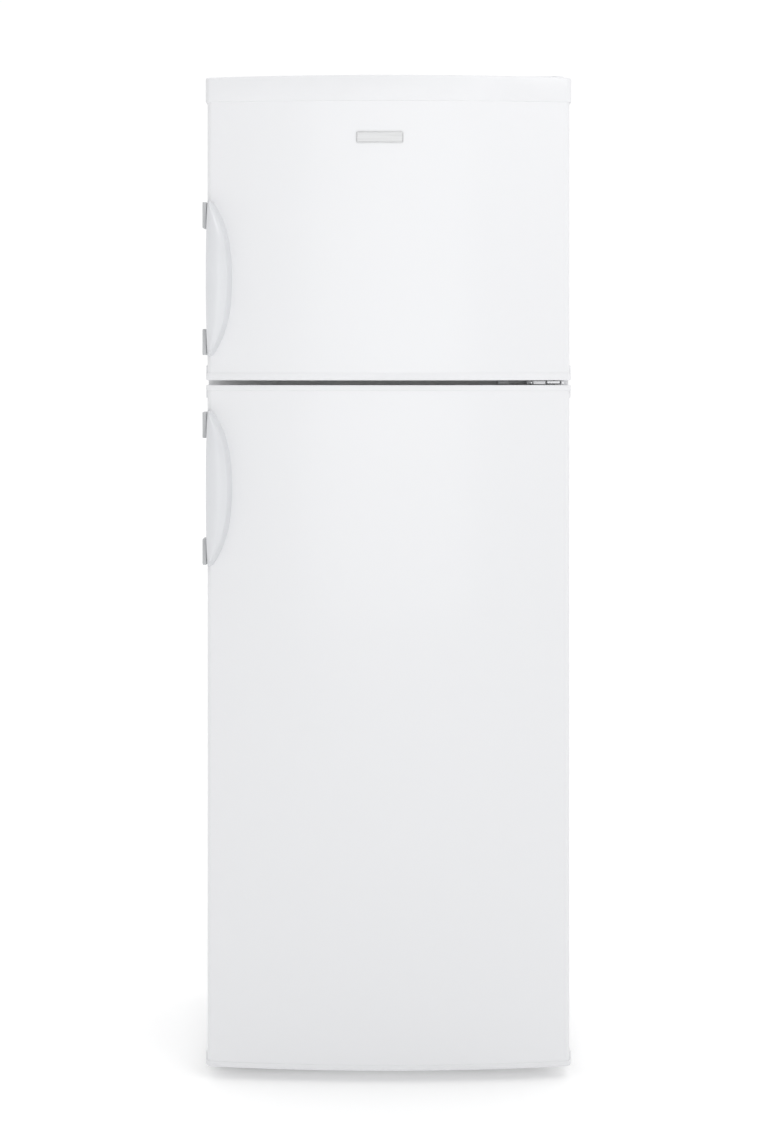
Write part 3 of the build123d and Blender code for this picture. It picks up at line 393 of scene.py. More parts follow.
def rounded_rect(low_u, high_u, low_v, high_v, radius, steps=6):
    """Outline of a rectangle with round corners, always the same number of points."""
    radius = max(radius, 0.01 * MM)
    corners = (
        (high_u - radius, high_v - radius), (low_u + radius, high_v - radius),
        (low_u + radius, low_v + radius), (high_u - radius, low_v + radius),
    )
    outline = []
    for quarter, (u, v) in enumerate(corners):
        for step in range(steps + 1):
            angle = math.pi / 2 * (quarter + step / steps)
            outline.append((u + radius * math.cos(angle), v + radius * math.sin(angle)))
    return outline


def stacked(bm, low, high, levels, corner):
    """Skins upright outlines of a box, each drawn in by its own inset at its own height."""
    rings = []
    for inset, height in levels:
        outline = rounded_rect(low.x + inset, high.x - inset, low.y + inset, high.y - inset, corner(inset))
        rings.append([(x, y, height) for x, y in outline])
    loft(bm, rings)


def vessel(bm, low, high, wall, corner, draft, rim=1.6 * MM, rim_height=5 * MM):
    """A moulded tray: drafted walls, a round bottom edge and a bead round its mouth."""
    bottom = min(5 * MM, (high.z - low.z) * 0.2)
    bead = high.z - rim_height
    levels = []
    for falling, rising in rounded_edge(3):
        levels.append((draft + rim + bottom * falling, low.z + bottom * rising))
    levels += [
        (rim, bead - 1 * MM), (0.3 * MM, bead), (0.0, bead + 0.6 * MM), (0.0, high.z - 0.7 * MM),
        (0.7 * MM, high.z), (rim + wall - 0.6 * MM, high.z), (rim + wall, high.z - 0.6 * MM),
    ]
    for falling, rising in rounded_edge(3):
        levels.append((draft + rim + wall + bottom * rising, low.z + wall + bottom * falling))
    stacked(bm, low, high, levels, lambda inset: corner - inset * 0.7)


def ring_sweep(bm, low, high, corner, profile, steps):
    """Sweeps a closed profile of (inset, y) points round an upright rectangle with round corners."""
    outlines = []
    for inset, y in profile:
        flat = rounded_rect(low.x + inset, high.x - inset, low.z + inset, high.z - inset, corner - inset, steps)
        outlines.append([(x, y, z) for x, z in flat])
    loft(bm, [list(ring) for ring in zip(*outlines)], closed=True)


def rod(bm, start, end, radius, steps=12):
    """A round bar between two points, its ends just broken."""
    start, end = Vector(start), Vector(end)
    length = (end - start).length
    chamfer = min(radius * 0.2, length * 0.2)
    profile = ((radius - chamfer, 0), (radius, chamfer), (radius, length - chamfer), (radius - chamfer, length))
    lathe(bm, profile, start, steps, end - start)


# ================= the bowed door =================

def bow_corner(grow):
    """Front right corner of the door seen from above, then the bow's radius, middle and starting angle."""
    steps = 8
    half = DOOR_HALF + grow
    radius = (half ** 2 + DOOR_BOW ** 2) / (2 * DOOR_BOW)
    middle_y = DOOR_FRONT - grow - DOOR_BOW + radius
    corner = DOOR_CORNER + grow
    corner_x = half - corner
    corner_y = middle_y - math.sqrt((radius - corner) ** 2 - corner_x ** 2)
    sweep = math.atan2(corner_y - middle_y, corner_x)
    arc = []
    for step in range(steps + 1):
        angle = sweep * step / steps
        arc.append((corner_x + corner * math.cos(angle), corner_y + corner * math.sin(angle)))
    return arc, radius, middle_y, sweep


def door_plan(grow=0.0, back=DOOR_BACK):
    """Outline of the door seen from above, from its right back corner round the front to the left."""
    steps = 72
    arc, radius, middle_y, sweep = bow_corner(grow)
    right = [(DOOR_HALF + grow, back)] + arc
    bow = []
    for step in range(1, steps):
        angle = sweep + (-math.pi - 2 * sweep) * step / steps
        bow.append((radius * math.cos(angle), middle_y + radius * math.sin(angle)))
    left = [(-x, y) for x, y in reversed(right)]
    return right + bow + left


def door_front_y(x):
    """Where the door's skin is, at a place across it."""
    _, radius, middle_y, _ = bow_corner(0.0)
    return middle_y - math.sqrt(radius ** 2 - x ** 2)


def rounded_levels(low, high, low_radius, high_radius):
    """(height, growth) pairs up a cap whose lower and upper edges are rounded."""
    lower = [(low + low_radius * rising, -low_radius * falling) for falling, rising in rounded_edge(4)]
    upper = [(high - high_radius * falling, -high_radius * rising) for falling, rising in rounded_edge(4)]
    return lower + upper


def cap_body(bm, low, high, radii, crown=0.0, side_grow=CAP_GROW):
    """A moulded end cap: nearly flush with the bowed skin in front, proud of it at the sides."""
    rings = []
    for height, inset in rounded_levels(low, high, *radii):
        lift = crown if height > (low + high) / 2 else 0.0
        front_grow = FRONT_GROW + inset
        stretch = (DOOR_HALF + side_grow + inset) / (DOOR_HALF + front_grow)
        ring = []
        for x, y in door_plan(front_grow):
            ring.append((x * stretch, y, height + lift * (1 - (x / DOOR_HALF) ** 2)))
        rings.append(ring)
    loft(bm, rings)


def cap_skirts(bm, low, high):
    """The strips of a cap that lap over both sides of the door."""
    front = DOOR_FRONT + 12 * MM
    for left, right in sides(DOOR_HALF - 0.5 * MM, DOOR_HALF + CAP_GROW):
        block(bm, (left, front, low), (right, DOOR_BACK, high), 0.9 * MM)


def door_skin(door):
    """The folded steel sheet of a door."""
    low, high = span(f"{door}_door_panel")
    hem = DOOR_HALF - 13 * MM
    fold = DOOR_BACK - DOOR_SHEET
    outer = [(hem, DOOR_BACK)] + door_plan() + [(-hem, DOOR_BACK)]
    inner = [(hem, fold)] + door_plan(-DOOR_SHEET, fold) + [(-hem, fold)]
    loop = outer + inner[::-1]
    bm = bmesh.new()
    loft(bm, [[(x, y, z) for x, y in loop] for z in (low.z, high.z)])
    settle(piece(f"{door}_skin", bm, 40.0), f"{door}_door_panel")


def end_caps(door, bottom_radii, top_radii, crown=0.0, top_grow=CAP_GROW):
    """The caps at both ends of a door, lapping over its sides where they don't stand out far."""
    skin_low, skin_high = span(f"{door}_door_panel")
    cap_low, cap_high = span(f"{door}_door_end_caps")
    skirt = 12 * MM
    bm = bmesh.new()
    cap_body(bm, cap_low.z, skin_low.z, bottom_radii)
    cap_skirts(bm, skin_low.z - SEAM, skin_low.z + skirt)
    cap_body(bm, skin_high.z, cap_high.z - crown, top_radii, crown, top_grow)
    if top_grow == CAP_GROW:
        cap_skirts(bm, skin_high.z - skirt, skin_high.z + SEAM)
    settle(piece(f"{door}_caps", bm), f"{door}_door_end_caps")


# ================= grips =================

# The D seen from the front: half its length, the ellipse it is cut from, its edges, and how far it stands out.
GRIP_HALF = 125 * MM
GRIP_ROOT = 125.8 * MM
GRIP_LEFT = -291.5 * MM
GRIP_RIGHT = -253.0 * MM
GRIP_FRONT = -310 * MM
# Below this height the grip is hollow behind, and above it a solid foot.
GRIP_HOLLOW = 82 * MM
GRIP_SHEET = 3.6 * MM
GRIP_SUNK = 0.6 * MM
GRIP_CREST = 0.42


def smooth_step(value, low, high):
    """0 below a range, 1 above it, and an S between."""
    t = min(max((value - low) / (high - low), 0.0), 1.0)
    return t * t * (3 - 2 * t)


def grip_border(height):
    """The right border of the D at a height above or below its middle."""
    reach = abs(height) / GRIP_ROOT
    share = math.sqrt(1 - reach ** 2) - 0.6 * reach ** 6 * (1 - reach ** 2)
    return GRIP_LEFT + (GRIP_RIGHT - GRIP_LEFT) * share


def grip_section(height, middle):
    """One closed section across the grip: out of the door, over the crest, round the free edge and back."""
    border = grip_border(height)
    reach = abs(height) / GRIP_HALF
    left = GRIP_LEFT - 1.9 * MM * (1 - reach ** 2)
    root = border + 1.5 * MM
    width = root - left
    wall = min(8.5 * MM, width * 0.6)
    crest_y = GRIP_FRONT + 13 * MM * reach ** 3
    drop = 6.5 * MM * (1 - 0.5 * reach)
    shoulder_y = crest_y + drop * 0.75
    foot_y = door_front_y(border) + GRIP_SUNK

    rise = []
    for step in range(17):
        share = step / 16
        climbed = smooth_step(share, 0.0, 1.0) ** 0.85
        rise.append((root - wall * share, foot_y + (shoulder_y - foot_y) * climbed))
    face = []
    for step in range(1, 15):
        share = step / 14
        x = root - wall - (width - wall - GRIP_SHEET / 2) * share
        if share > GRIP_CREST:
            across = (share - GRIP_CREST) / (1 - GRIP_CREST)
        else:
            across = (GRIP_CREST - share) / GRIP_CREST * 0.87
        face.append((x, crest_y + drop * across ** 2))
    edge_x, edge_y = face[-1]
    nose = []
    for step in range(1, 7):
        angle = math.pi * step / 7
        nose.append((edge_x - GRIP_SHEET / 2 * math.sin(angle), edge_y + GRIP_SHEET / 2 * (1 - math.cos(angle))))

    behind = [(x, y + GRIP_SHEET) for x, y in reversed(face[:-1])]
    for step in range(9):
        share = step / 8
        x = root - wall + (wall - GRIP_SHEET) * share ** 0.6
        behind.append((x, shoulder_y + GRIP_SHEET + (foot_y - shoulder_y - GRIP_SHEET) * share ** 2))
    solid = smooth_step(abs(height), GRIP_HOLLOW - 4 * MM, GRIP_HOLLOW + 6 * MM)
    filled = []
    for x, y in behind:
        depth = max(door_front_y(max(x, -DOOR_HALF + 1 * MM)) + GRIP_SUNK, y)
        filled.append((x, y + (depth - y) * solid))
    return [(x, y, middle + height) for x, y in rise + face + nose + filled]


def grip(door):
    """The D-shaped handle, with its sections closer together towards its ends."""
    low, high = span(f"{door}_door_handle")
    middle = (low.z + high.z) / 2
    steps = 60
    rings = []
    for step in range(steps + 1):
        height = GRIP_HALF * math.sin(math.pi / 2 * (2 * step / steps - 1))
        rings.append(grip_section(height, middle))
    bm = bmesh.new()
    loft(bm, rings)
    settle(piece(f"{door}_grip", bm, 50.0), f"{door}_door_handle")


def grip_covers(door):
    """The grey covers on the side of the door, at both ends of the grip."""
    low, high = span(f"{door}_handle_end_caps")
    length = 42 * MM
    bm = bmesh.new()
    for z in (low.z, high.z - length):
        block(bm, (low.x, low.y, z), (high.x, high.y, z + length), 1.4 * MM, 3)
    settle(piece(f"{door}_grip_covers", bm), f"{door}_handle_end_caps")


# ================= screws and hinges =================

def screw_head(bm, centre, axis, radius, height):
    """A pan head with a cross recess."""
    place = Matrix.Translation(centre) @ turned_to(axis).to_4x4()
    arm, reach = radius * 0.16, radius * 0.58
    recess_floor = height * 0.35
    made = bmesh.new()
    profile = ((radius, 0.0), (radius, height * 0.45), (radius * 0.86, height * 0.8), (reach * 1.15, height))
    lathe(made, profile, (0, 0, 0), 32)
    top = max(made.faces, key=lambda face: face.calc_center_median().z)
    bmesh.ops.delete(made, geom=[top], context="FACES_ONLY")
    rim = [vert for vert in made.verts if vert.co.z > height * 0.99]
    rim.sort(key=lambda vert: math.atan2(vert.co.y, vert.co.x))
    cross = []
    for quarter in range(4):
        spin = Matrix.Rotation(math.pi / 2 * quarter, 4, "Z")
        for x, y in ((reach, -arm), (reach, arm), (arm, arm)):
            cross.append(spin @ Vector((x, y, height)))
    cross.sort(key=lambda point: math.atan2(point.y, point.x))
    edge = [made.verts.new(point) for point in cross]
    floor = [made.verts.new((point.x * 0.8, point.y * 0.8, recess_floor)) for point in cross]
    for i in range(len(edge)):
        j = (i + 1) % len(edge)
        made.faces.new((edge[i], edge[j], floor[j], floor[i]))
    made.faces.new(floor)
    loops = [made.edges.get((ring[i], ring[(i + 1) % len(ring)])) for ring in (rim, edge) for i in range(len(ring))]
    bmesh.ops.triangle_fill(made, use_beauty=True, edges=loops)
    made.transform(place)
    mesh = bpy.data.meshes.new("screw")
    made.to_mesh(mesh)
    made.free()
    bm.from_mesh(mesh)
    bpy.data.meshes.remove(mesh)


def hinge_screws():
    """The bolts of the top hinge and the screws of the middle one."""
    low, high = span("hinge_screws")
    head, shank, tall = 5.5 * MM, 3.1 * MM, 3.6 * MM
    bm = bmesh.new()
    for x in (220 * MM, 265 * MM):
        for y in (-195 * MM, -170 * MM):
            screw_head(bm, (x, y, high.z - tall), (0, 0, 1), head, tall)
            lathe(bm, ((shank, 0), (shank, 3.0 * MM)), (x, y, high.z - 6.0 * MM), 24)
    for x in (208 * MM, 262 * MM):
        for z in (1136 * MM, 1117 * MM):
            screw_head(bm, (x, -223 * MM, z), (0, -1, 0), 4.6 * MM, 2 * MM)
    screw_head(bm, (231 * MM, low.y + 1.8 * MM, 1126.75 * MM), (0, -1, 0), 1.95 * MM, 1.8 * MM)
    settle(piece("hinge_screws_crossed", bm, 30.0), "hinge_screws")


def middle_hinge():
    """The casting in the gap: two stepped arms, then a front split by its screw's slot and its bush's grooves."""
    low, high = span("middle_hinge")
    floor, ceiling = 1124.3 * MM, 1129.2 * MM
    arms_end, front_end = high.y, -261.5 * MM
    bush_rise = 1.2 * MM
    bm = bmesh.new()
    for left, right, front, back, lift in (
        (178, 196, -252, arms_end, 0.0), (196, 225, -238, arms_end, 0.0), (225, 286, -262, arms_end, 0.0),
        (234.1, 253.5, -278, front_end, 0.0), (256.5, 276.8, -278, front_end, bush_rise),
        (279.6, 284.4, -275, front_end, 0.0),
    ):
        block(bm, (left * MM, front * MM, floor + lift), (right * MM, back, ceiling), 0.35 * MM)
    block(bm, (196 * MM, high.y - 2 * MM, low.z), (high.x, high.y, high.z), 0.4 * MM)
    rod(bm, (272 * MM, -257 * MM, 1116 * MM), (272 * MM, -257 * MM, 1139 * MM), 4.5 * MM, 32)
    settle(piece("middle_hinge_casting", bm), "middle_hinge")


# ================= gaskets =================

def gasket(door):
    """A bellows seal: dart side on the door, folds, and the flat magnet tube towards the cabinet."""
    low, high = span(f"{door}_door_gasket")
    width, depth = 16 * MM, high.y - low.y
    profile = (
        (0.18, 0.0), (0.82, 0.0), (0.86, 0.08), (0.76, 0.16), (0.70, 0.24), (0.80, 0.34), (0.92, 0.42),
        (0.80, 0.50), (0.74, 0.56), (0.86, 0.60), (0.97, 0.66), (1.0, 0.74), (1.0, 0.90), (0.95, 0.98),
        (0.88, 1.0), (0.14, 1.0), (0.07, 0.98), (0.0, 0.88), (0.0, 0.74), (0.06, 0.66), (0.20, 0.60),
        (0.30, 0.54), (0.22, 0.46), (0.10, 0.38), (0.22, 0.28), (0.30, 0.20), (0.20, 0.12), (0.14, 0.06),
    )
    rings = []
    for side, upper in ((1, True), (-1, True), (-1, False), (1, False)):
        ring = []
        for across, deep in profile:
            shrink = width * (1 - across)
            z = high.z - shrink if upper else low.z + shrink
            ring.append((side * (high.x - shrink), low.y + depth * deep, z))
        rings.append(ring)
    bm = bmesh.new()
    loft(bm, rings, closed=True)
    settle(piece(f"{door}_gasket_bellows", bm, 60.0), f"{door}_door_gasket")


# ================= inner shells =================

def formed_liner(node, half, floor, ceiling, flange, step=None):
    """A vacuum-formed box: round inner edges, a lip and a flange round its mouth, and (y, z) of a step at the back."""
    low, high = span(node)
    front = low.y
    sheet = 1.6 * MM
    back = high.y - sheet
    soft = 12 * MM
    inside, outside, mouth = 14 * MM, 4 * MM, 1 * MM
    rear_floor = step[1] if step else floor
    # Each ring: its y, how far it goes past the inner walls sideways and upwards, its floor, its corner radius.
    walls = [(back + sheet, sheet, sheet, rear_floor, outside)]
    if step:
        walls += [(step[0] + sheet, sheet, sheet, z, outside) for z in (step[1], floor)]
    walls += [
        (front + sheet, sheet, sheet, floor, outside), (front + sheet, *flange, floor, mouth),
        (front, *flange, floor, mouth), (front, 3 * MM, 3 * MM, floor, 16 * MM),
    ]
    for deep, wide in ((0.3, 1.5), (1.1, 0.5), (2.6, 0.0)):
        walls.append((front + deep * MM, wide * MM, wide * MM, floor, inside))
    if step:
        for falling, rising in rounded_edge(5):
            walls.append((step[0] - soft * falling, 0, 0, floor + soft * rising, inside))
        for falling, rising in rounded_edge(5):
            walls.append((step[0] + soft * rising, 0, 0, step[1] - soft * falling, inside))
    for falling, rising in rounded_edge(5):
        walls.append((back - soft * falling, -soft * rising, -soft * rising, rear_floor, inside))
    rings = []
    for y, wide, tall, bottom, corner in walls:
        flat = rounded_rect(-half - wide, half + wide, bottom - tall, ceiling + tall, corner)
        rings.append([(x, y, z) for x, z in flat])
    bm = bmesh.new()
    loft(bm, rings)
    bmesh.ops.dissolve_degenerate(bm, edges=bm.edges, dist=0.001 * MM)
    settle(piece(f"{node}_formed", bm, 40.0), node)


def liners():
    """Both compartments, and the ledges that carry the shelves."""
    flange = 9 * MM
    low, high = span("freezer_liner")
    half = span("evaporator_cover")[1].x + 1 * MM
    formed_liner("freezer_liner", half, low.z + flange, high.z - flange, (high.x - half, flange))
    low, high = span("fridge_liner")
    half = high.x - flange
    step = (45 * MM, 285 * MM)
    formed_liner("fridge_liner", half, low.z + flange, high.z - flange, (flange, flange), step)
    bm = bmesh.new()
    for shelf_low, shelf_high in islands("glass_shelves"):
        for left, right in sides(half - 5 * MM, half + 0.5 * MM):
            ledge_low = (left, shelf_low.y + 14 * MM, shelf_low.z - 10 * MM)
            ledge_high = (right, shelf_high.y - 12 * MM, shelf_low.z - 0.2 * MM)
            block(bm, ledge_low, ledge_high, 2.2 * MM, 3)
    dress(piece("fridge_liner_ledges", bm), SLOT_OF["fridge_liner"], BODY_OF["fridge_liner"])


RIDGE_WIDTH = 23 * MM
RIDGE_CORNER = 30 * MM


def ridge_box(door):
    """The outer corners of the ridge inside a door."""
    low, high = span(f"{door}_door_gasket")
    inset = Vector((39 * MM, 0.0, 27 * MM))
    return low + inset, high - inset


def door_core(door):
    """The foam between a door's skin and its liner."""
    low, high = span(f"{door}_door_foam")
    ridge_low, ridge_high = ridge_box(door)
    back = DOOR_BACK - DOOR_SHEET
    bm = bmesh.new()
    loft(bm, [[(x, y, z) for x, y in door_plan(-DOOR_SHEET, back)] for z in (low.z, high.z)])
    inset, tip = 6 * MM, high.y - 8 * MM
    profile = ((inset, back), (inset, tip), (RIDGE_WIDTH - inset, tip), (RIDGE_WIDTH - inset, back))
    ring_sweep(bm, ridge_low, ridge_high, RIDGE_CORNER, profile, 8)
    settle(piece(f"{door}_foam_core", bm), f"{door}_door_foam")


def door_liner(door):
    """The inside of a door: a plate with a ridge moulded round it and a bead inside the ridge."""
    low, high = span(f"{door}_door_liner")
    ridge_low, ridge_high = ridge_box(door)
    base, tip = low.y, high.y
    bm = bmesh.new()
    block(bm, low, (high.x, base + 2 * MM, high.z), 0.8 * MM)
    ridge = [(0.0, base + 1 * MM), (0.4 * MM, base + 4 * MM), (2.4 * MM, tip - 7 * MM)]
    for falling, rising in rounded_edge(4)[1:]:
        ridge.append((2.6 * MM + 6 * MM * rising, tip - 6 * MM * falling))
    ridge += [(RIDGE_WIDTH - inset, y) for inset, y in reversed(ridge)]
    ring_sweep(bm, ridge_low, ridge_high, RIDGE_CORNER, ridge, 8)
    inset = Vector((RIDGE_WIDTH + 8 * MM, 0.0, RIDGE_WIDTH + 8 * MM))
    bead = [(0.0, base + 1.5 * MM), (1.0 * MM, base + 3.0 * MM), (2.5 * MM, base + 3.6 * MM)]
    bead += [(5 * MM - across, y) for across, y in reversed(bead)]
    ring_sweep(bm, ridge_low + inset, ridge_high - inset, 14 * MM, bead, 6)
    settle(piece(f"{door}_liner_formed", bm), f"{door}_door_liner")


# ================= moulded fittings =================

def ribs(bm, places, y, low_z, high_z, half, bury, proud, radius):
    """Upright ribs on a front, at their places across it."""
    for x in places:
        block(bm, (x - half, y - bury, low_z), (x + half, y + proud, high_z), radius)


def door_bins(door):
    """The bins of a door, with a fluted front; arms go up from the one that carries the dairy lid."""
    deep_bin, dairy_bin = 110 * MM, 88 * MM
    arm_foot, arm_front = 980 * MM, -214 * MM
    bm = bmesh.new()
    for low, high in islands(f"{door}_door_bins"):
        is_dairy = door == "fridge" and high.z > 1
        top = low.z + dairy_bin if is_dairy else min(high.z, low.z + deep_bin)
        vessel(bm, low, Vector((high.x, high.y, top)), 2 * MM, 14 * MM, 2.5 * MM)
        places = [number * 19 * MM for number in range(-9, 10)]
        ribs(bm, places, high.y - 1.7 * MM, low.z + 12 * MM, top - 12 * MM, 1.5 * MM, 1 * MM, 0.6 * MM, 0.7 * MM)
        if top < high.z - 1 * MM:
            for left, right in sides(201 * MM, 204 * MM):
                block(bm, (left, low.y, arm_foot), (right, arm_front, high.z), 1.2 * MM)
    settle(piece(f"{door}_bins_moulded", bm), f"{door}_door_bins")


def crisper(side):
    """A vegetable drawer with a ribbed front and a finger lip."""
    node = f"crisper_drawer_{side}"
    low, high = span(node)
    front = low.y + 10 * MM
    middle = (low.x + high.x) / 2
    lip_z = high.z - 46 * MM
    bm = bmesh.new()
    vessel(bm, Vector((low.x, front, low.z)), high, 2.4 * MM, 16 * MM, 3 * MM, 2.2 * MM, 8 * MM)
    block(bm, (middle - 60 * MM, low.y, lip_z), (middle + 60 * MM, front + 5 * MM, lip_z + 6 * MM), 2.4 * MM, 3)
    places = [middle + number * 22 * MM for number in range(-4, 5)]
    ribs(bm, places, front + 4 * MM, low.z + 14 * MM, lip_z - 16 * MM, 2 * MM, 1 * MM, 1.2 * MM, 0.9 * MM)
    settle(piece(f"{node}_moulded", bm), node)


def drip_pan():
    """The pan over the compressor that the melt water dries from."""
    low, high = span("drip_pan")
    bm = bmesh.new()
    vessel(bm, low, high, 2 * MM, 12 * MM, 3 * MM)
    settle(piece("drip_pan_moulded", bm), "drip_pan")


def thermostat_knob():
    """A fluted knob with a pointer bar."""
    low, high = span("thermostat_knob")
    x, _, z = (low + high) / 2
    face = low.y + 4 * MM
    flute_count, flute_depth = 20, 0.55
    bm = bmesh.new()
    rings = []
    for depth, radius in ((0.0, 11.5), (0.5, 13.2), (1.8, 14.4), (12.0, 14.9), (14.6, 15.0), (15.0, 14.6)):
        ring = []
        for step, (u, v) in enumerate(circle(120)):
            wave = math.cos(2 * math.pi * flute_count * step / 120)
            r = (radius - flute_depth * max(0.0, wave) * (1.0 < depth < 14.8)) * MM
            ring.append((x + r * u, face + depth * MM, z + r * v))
        rings.append(ring)
    loft(bm, rings)
    rod(bm, (x, face + 14 * MM, z), (x, high.y, z), 3.5 * MM, 24)
    block(bm, (x - 2 * MM, low.y, z - 14 * MM), (x + 2 * MM, low.y + 10 * MM, z + 14 * MM), 1.2 * MM, 3)
    settle(piece("thermostat_knob_fluted", bm), "thermostat_knob")


def add_digit(bm, digit, centre):
    """One raised digit facing the front."""
    letter = bpy.data.curves.new(f"digit_{digit}", "FONT")
    letter.body = str(digit)
    letter.size = 4.2 * MM
    letter.extrude = 0.15 * MM
    letter.align_x = "CENTER"
    letter.align_y = "CENTER"
    holder = bpy.data.objects.new(f"digit_{digit}", letter)
    outline = holder.to_mesh()
    outline.transform(Matrix.Translation(centre) @ Matrix.Rotation(math.pi / 2, 4, "X"))
    bm.from_mesh(outline)
    holder.to_mesh_clear()
    bpy.data.objects.remove(holder)
    bpy.data.curves.remove(letter)


def dial_marks():
    """Ticks and the numbers 0 to 5 round the thermostat."""
    low, high = span("thermostat_knob")
    x, _, z = (low + high) / 2
    face = span("control_housing")[0].y
    first, sweep, flattened = 225, 270, 0.86
    tick_radius, digit_radius = 17.2 * MM, 21.6 * MM
    bm = bmesh.new()
    for step in range(21):
        angle = math.radians(first - sweep * step / 20)
        out = Vector((math.cos(angle), 0.0, math.sin(angle)))
        length = 1.4 * MM if step % 4 else 2.4 * MM
        place = Matrix.Translation(Vector((x, face, z)) + out * tick_radius) @ Matrix.Rotation(-angle, 4, "Y")
        bmesh.ops.create_cube(bm, size=1.0, matrix=place @ Matrix.Diagonal((length, 0.3 * MM, 0.35 * MM, 1.0)))
    for digit in range(6):
        angle = math.radians(first - sweep * digit / 5)
        across, up = digit_radius * math.cos(angle), digit_radius * math.sin(angle) * flattened
        add_digit(bm, digit, Vector((x + across, face, z + up)))
    dress(piece("dial_marks", bm), "grey_trim_plastic", "cabinet")


def lamp_lens():
    """The lamp's cover, with prisms along its underside."""
    low, high = span("lamp_lens")
    edge = 5 * MM
    levels = [
        (edge * (1 - math.sin(angle)), low.z + edge * (1 - math.cos(angle)))
        for angle in (0, 0.4, 0.8, 1.2, math.pi / 2)
    ]
    levels += [
        (0.0, high.z), (2.6 * MM, high.z), (3 * MM, high.z - 0.4 * MM), (3 * MM, low.z + 7 * MM),
        (7 * MM, low.z + 3 * MM),
    ]
    bm = bmesh.new()
    stacked(bm, low, high, levels, lambda inset: 9 * MM - inset)
    for number in range(-5, 6):
        y = (low.y + high.y) / 2 + number * 8 * MM
        prism_low = (low.x + 9 * MM, y - 1.6 * MM, low.z - 0.2 * MM)
        prism_high = (high.x - 9 * MM, y + 1.6 * MM, low.z + 1.2 * MM)
        block(bm, prism_low, prism_high, 0.5 * MM)
    settle(piece("lamp_lens_prismatic", bm), "lamp_lens")


def name_plate():
    """A blank plate with a raised rim, lying on the bowed door."""
    low, high = span("name_plate")
    corner = 3.2
    bm = bmesh.new()
    rings = []
    for inset, proud in ((0.0, -0.3), (0.0, 0.9), (0.15, 1.25), (0.5, 1.4), (1.5, 1.4), (1.8, 1.2), (2.0, 0.8)):
        drawn_in = inset * MM
        outline = rounded_rect(
            low.x + drawn_in, high.x - drawn_in, low.z + drawn_in, high.z - drawn_in, (corner - inset) * MM)
        rings.append([(x, door_front_y(x) - proud * MM, z) for x, z in outline])
    loft(bm, rings)
    settle(piece("name_plate_rimmed", bm), "name_plate")


# ================= machinery behind =================

def compressor():
    """Two drawn steel shells welded at a flange, on a mounting plate."""
    low, high = span("compressor")
    x, y = 60 * MM, (low.y + high.y) / 2
    flange = (high.y - low.y) / 2
    can = flange - 4 * MM
    lid = can - 1.5 * MM
    bottom, seam, shoulder = 44 * MM, 128 * MM, high.z - 30 * MM
    profile = []
    for falling, rising in rounded_edge(8):
        profile.append((can - 34 * MM * (1 - (1 - falling) ** 0.8), bottom + 30 * MM * rising))
    profile += [
        (can, seam - 2 * MM), (can + 1 * MM, seam - 1.2 * MM), (flange, seam - 0.8 * MM), (flange, seam + 1.4 * MM),
        (can + 2 * MM, seam + 2.2 * MM), (can + 1.2 * MM, seam + 4 * MM), (lid, seam + 5 * MM), (lid, shoulder),
    ]
    for falling, rising in rounded_edge(8)[1:]:
        profile.append((lid - 42 * MM * rising ** 0.9, shoulder + 28 * MM * (1 - falling)))
    profile += [(16 * MM, high.z - 0.4 * MM), (10 * MM, high.z)]
    bm = bmesh.new()
    lathe(bm, profile, (x, y, 0.0), 96)
    plate_z = 38 * MM
    block(bm, (low.x, y - 55 * MM, plate_z), (high.x, y + 55 * MM, plate_z + 3 * MM), 1.2 * MM, 3)
    for front, back in sides(51 * MM, 55 * MM):
        block(bm, (low.x, y + front, plate_z), (high.x, y + back, plate_z + 8 * MM), 1 * MM)
    lathe(bm, ((44 * MM, 0), (44 * MM, 4 * MM), (40 * MM, 8 * MM)), (x, y, 40 * MM), 64)
    block(bm, (x + 60 * MM, y - 20 * MM, 78 * MM), (x + 78 * MM, y + 20 * MM, 122 * MM), 3 * MM, 3)
    settle(piece("compressor_welded", bm), "compressor")


def grommets():
    """Grooved rubber feet of the compressor, and the sleeve where the pipe enters the cabinet."""
    profile = (
        (11, 0), (12, 1), (12, 4), (10.6, 5), (10.6, 6.5), (12, 7.5), (12, 11), (10.6, 12), (10.6, 13.4),
        (12, 14.2), (12, 15.4), (11, 16), (5.8, 16), (5.8, 22.4), (5.2, 23), (3.4, 23),
    )
    bm = bmesh.new()
    for low, high in islands("rubber_grommets"):
        x, y, z = (low + high) / 2
        is_sleeve = high.z > 100 * MM
        if is_sleeve:
            rod(bm, (x, low.y, z), (x, high.y, z), 9 * MM, 32)
        else:
            lathe(bm, [(radius * MM, height * MM) for radius, height in profile], (x, y, low.z), 40)
    settle(piece("rubber_grommets_grooved", bm), "rubber_grommets")


def condenser_wires():
    """The wires welded across both faces of the coil, and its four stand-offs."""
    coil_low, coil_high = span("condenser_coil")
    low, high = span("condenser_wires")
    radius = 0.8 * MM
    last = 65
    bm = bmesh.new()
    for number in range(last + 1):
        x = low.x + radius + (high.x - low.x - 2 * radius) * number / last
        for y in (coil_low.y - radius + 0.1 * MM, coil_high.y - radius):
            rod(bm, (x, y, low.z), (x, y, high.z), radius, 6)
    for box_low, box_high in islands("condenser_wires"):
        is_stand_off = box_high.x - box_low.x > 10 * MM
        if is_stand_off:
            block(bm, box_low, box_high, 1.5 * MM)
    settle(piece("condenser_wires_fine", bm), "condenser_wires")


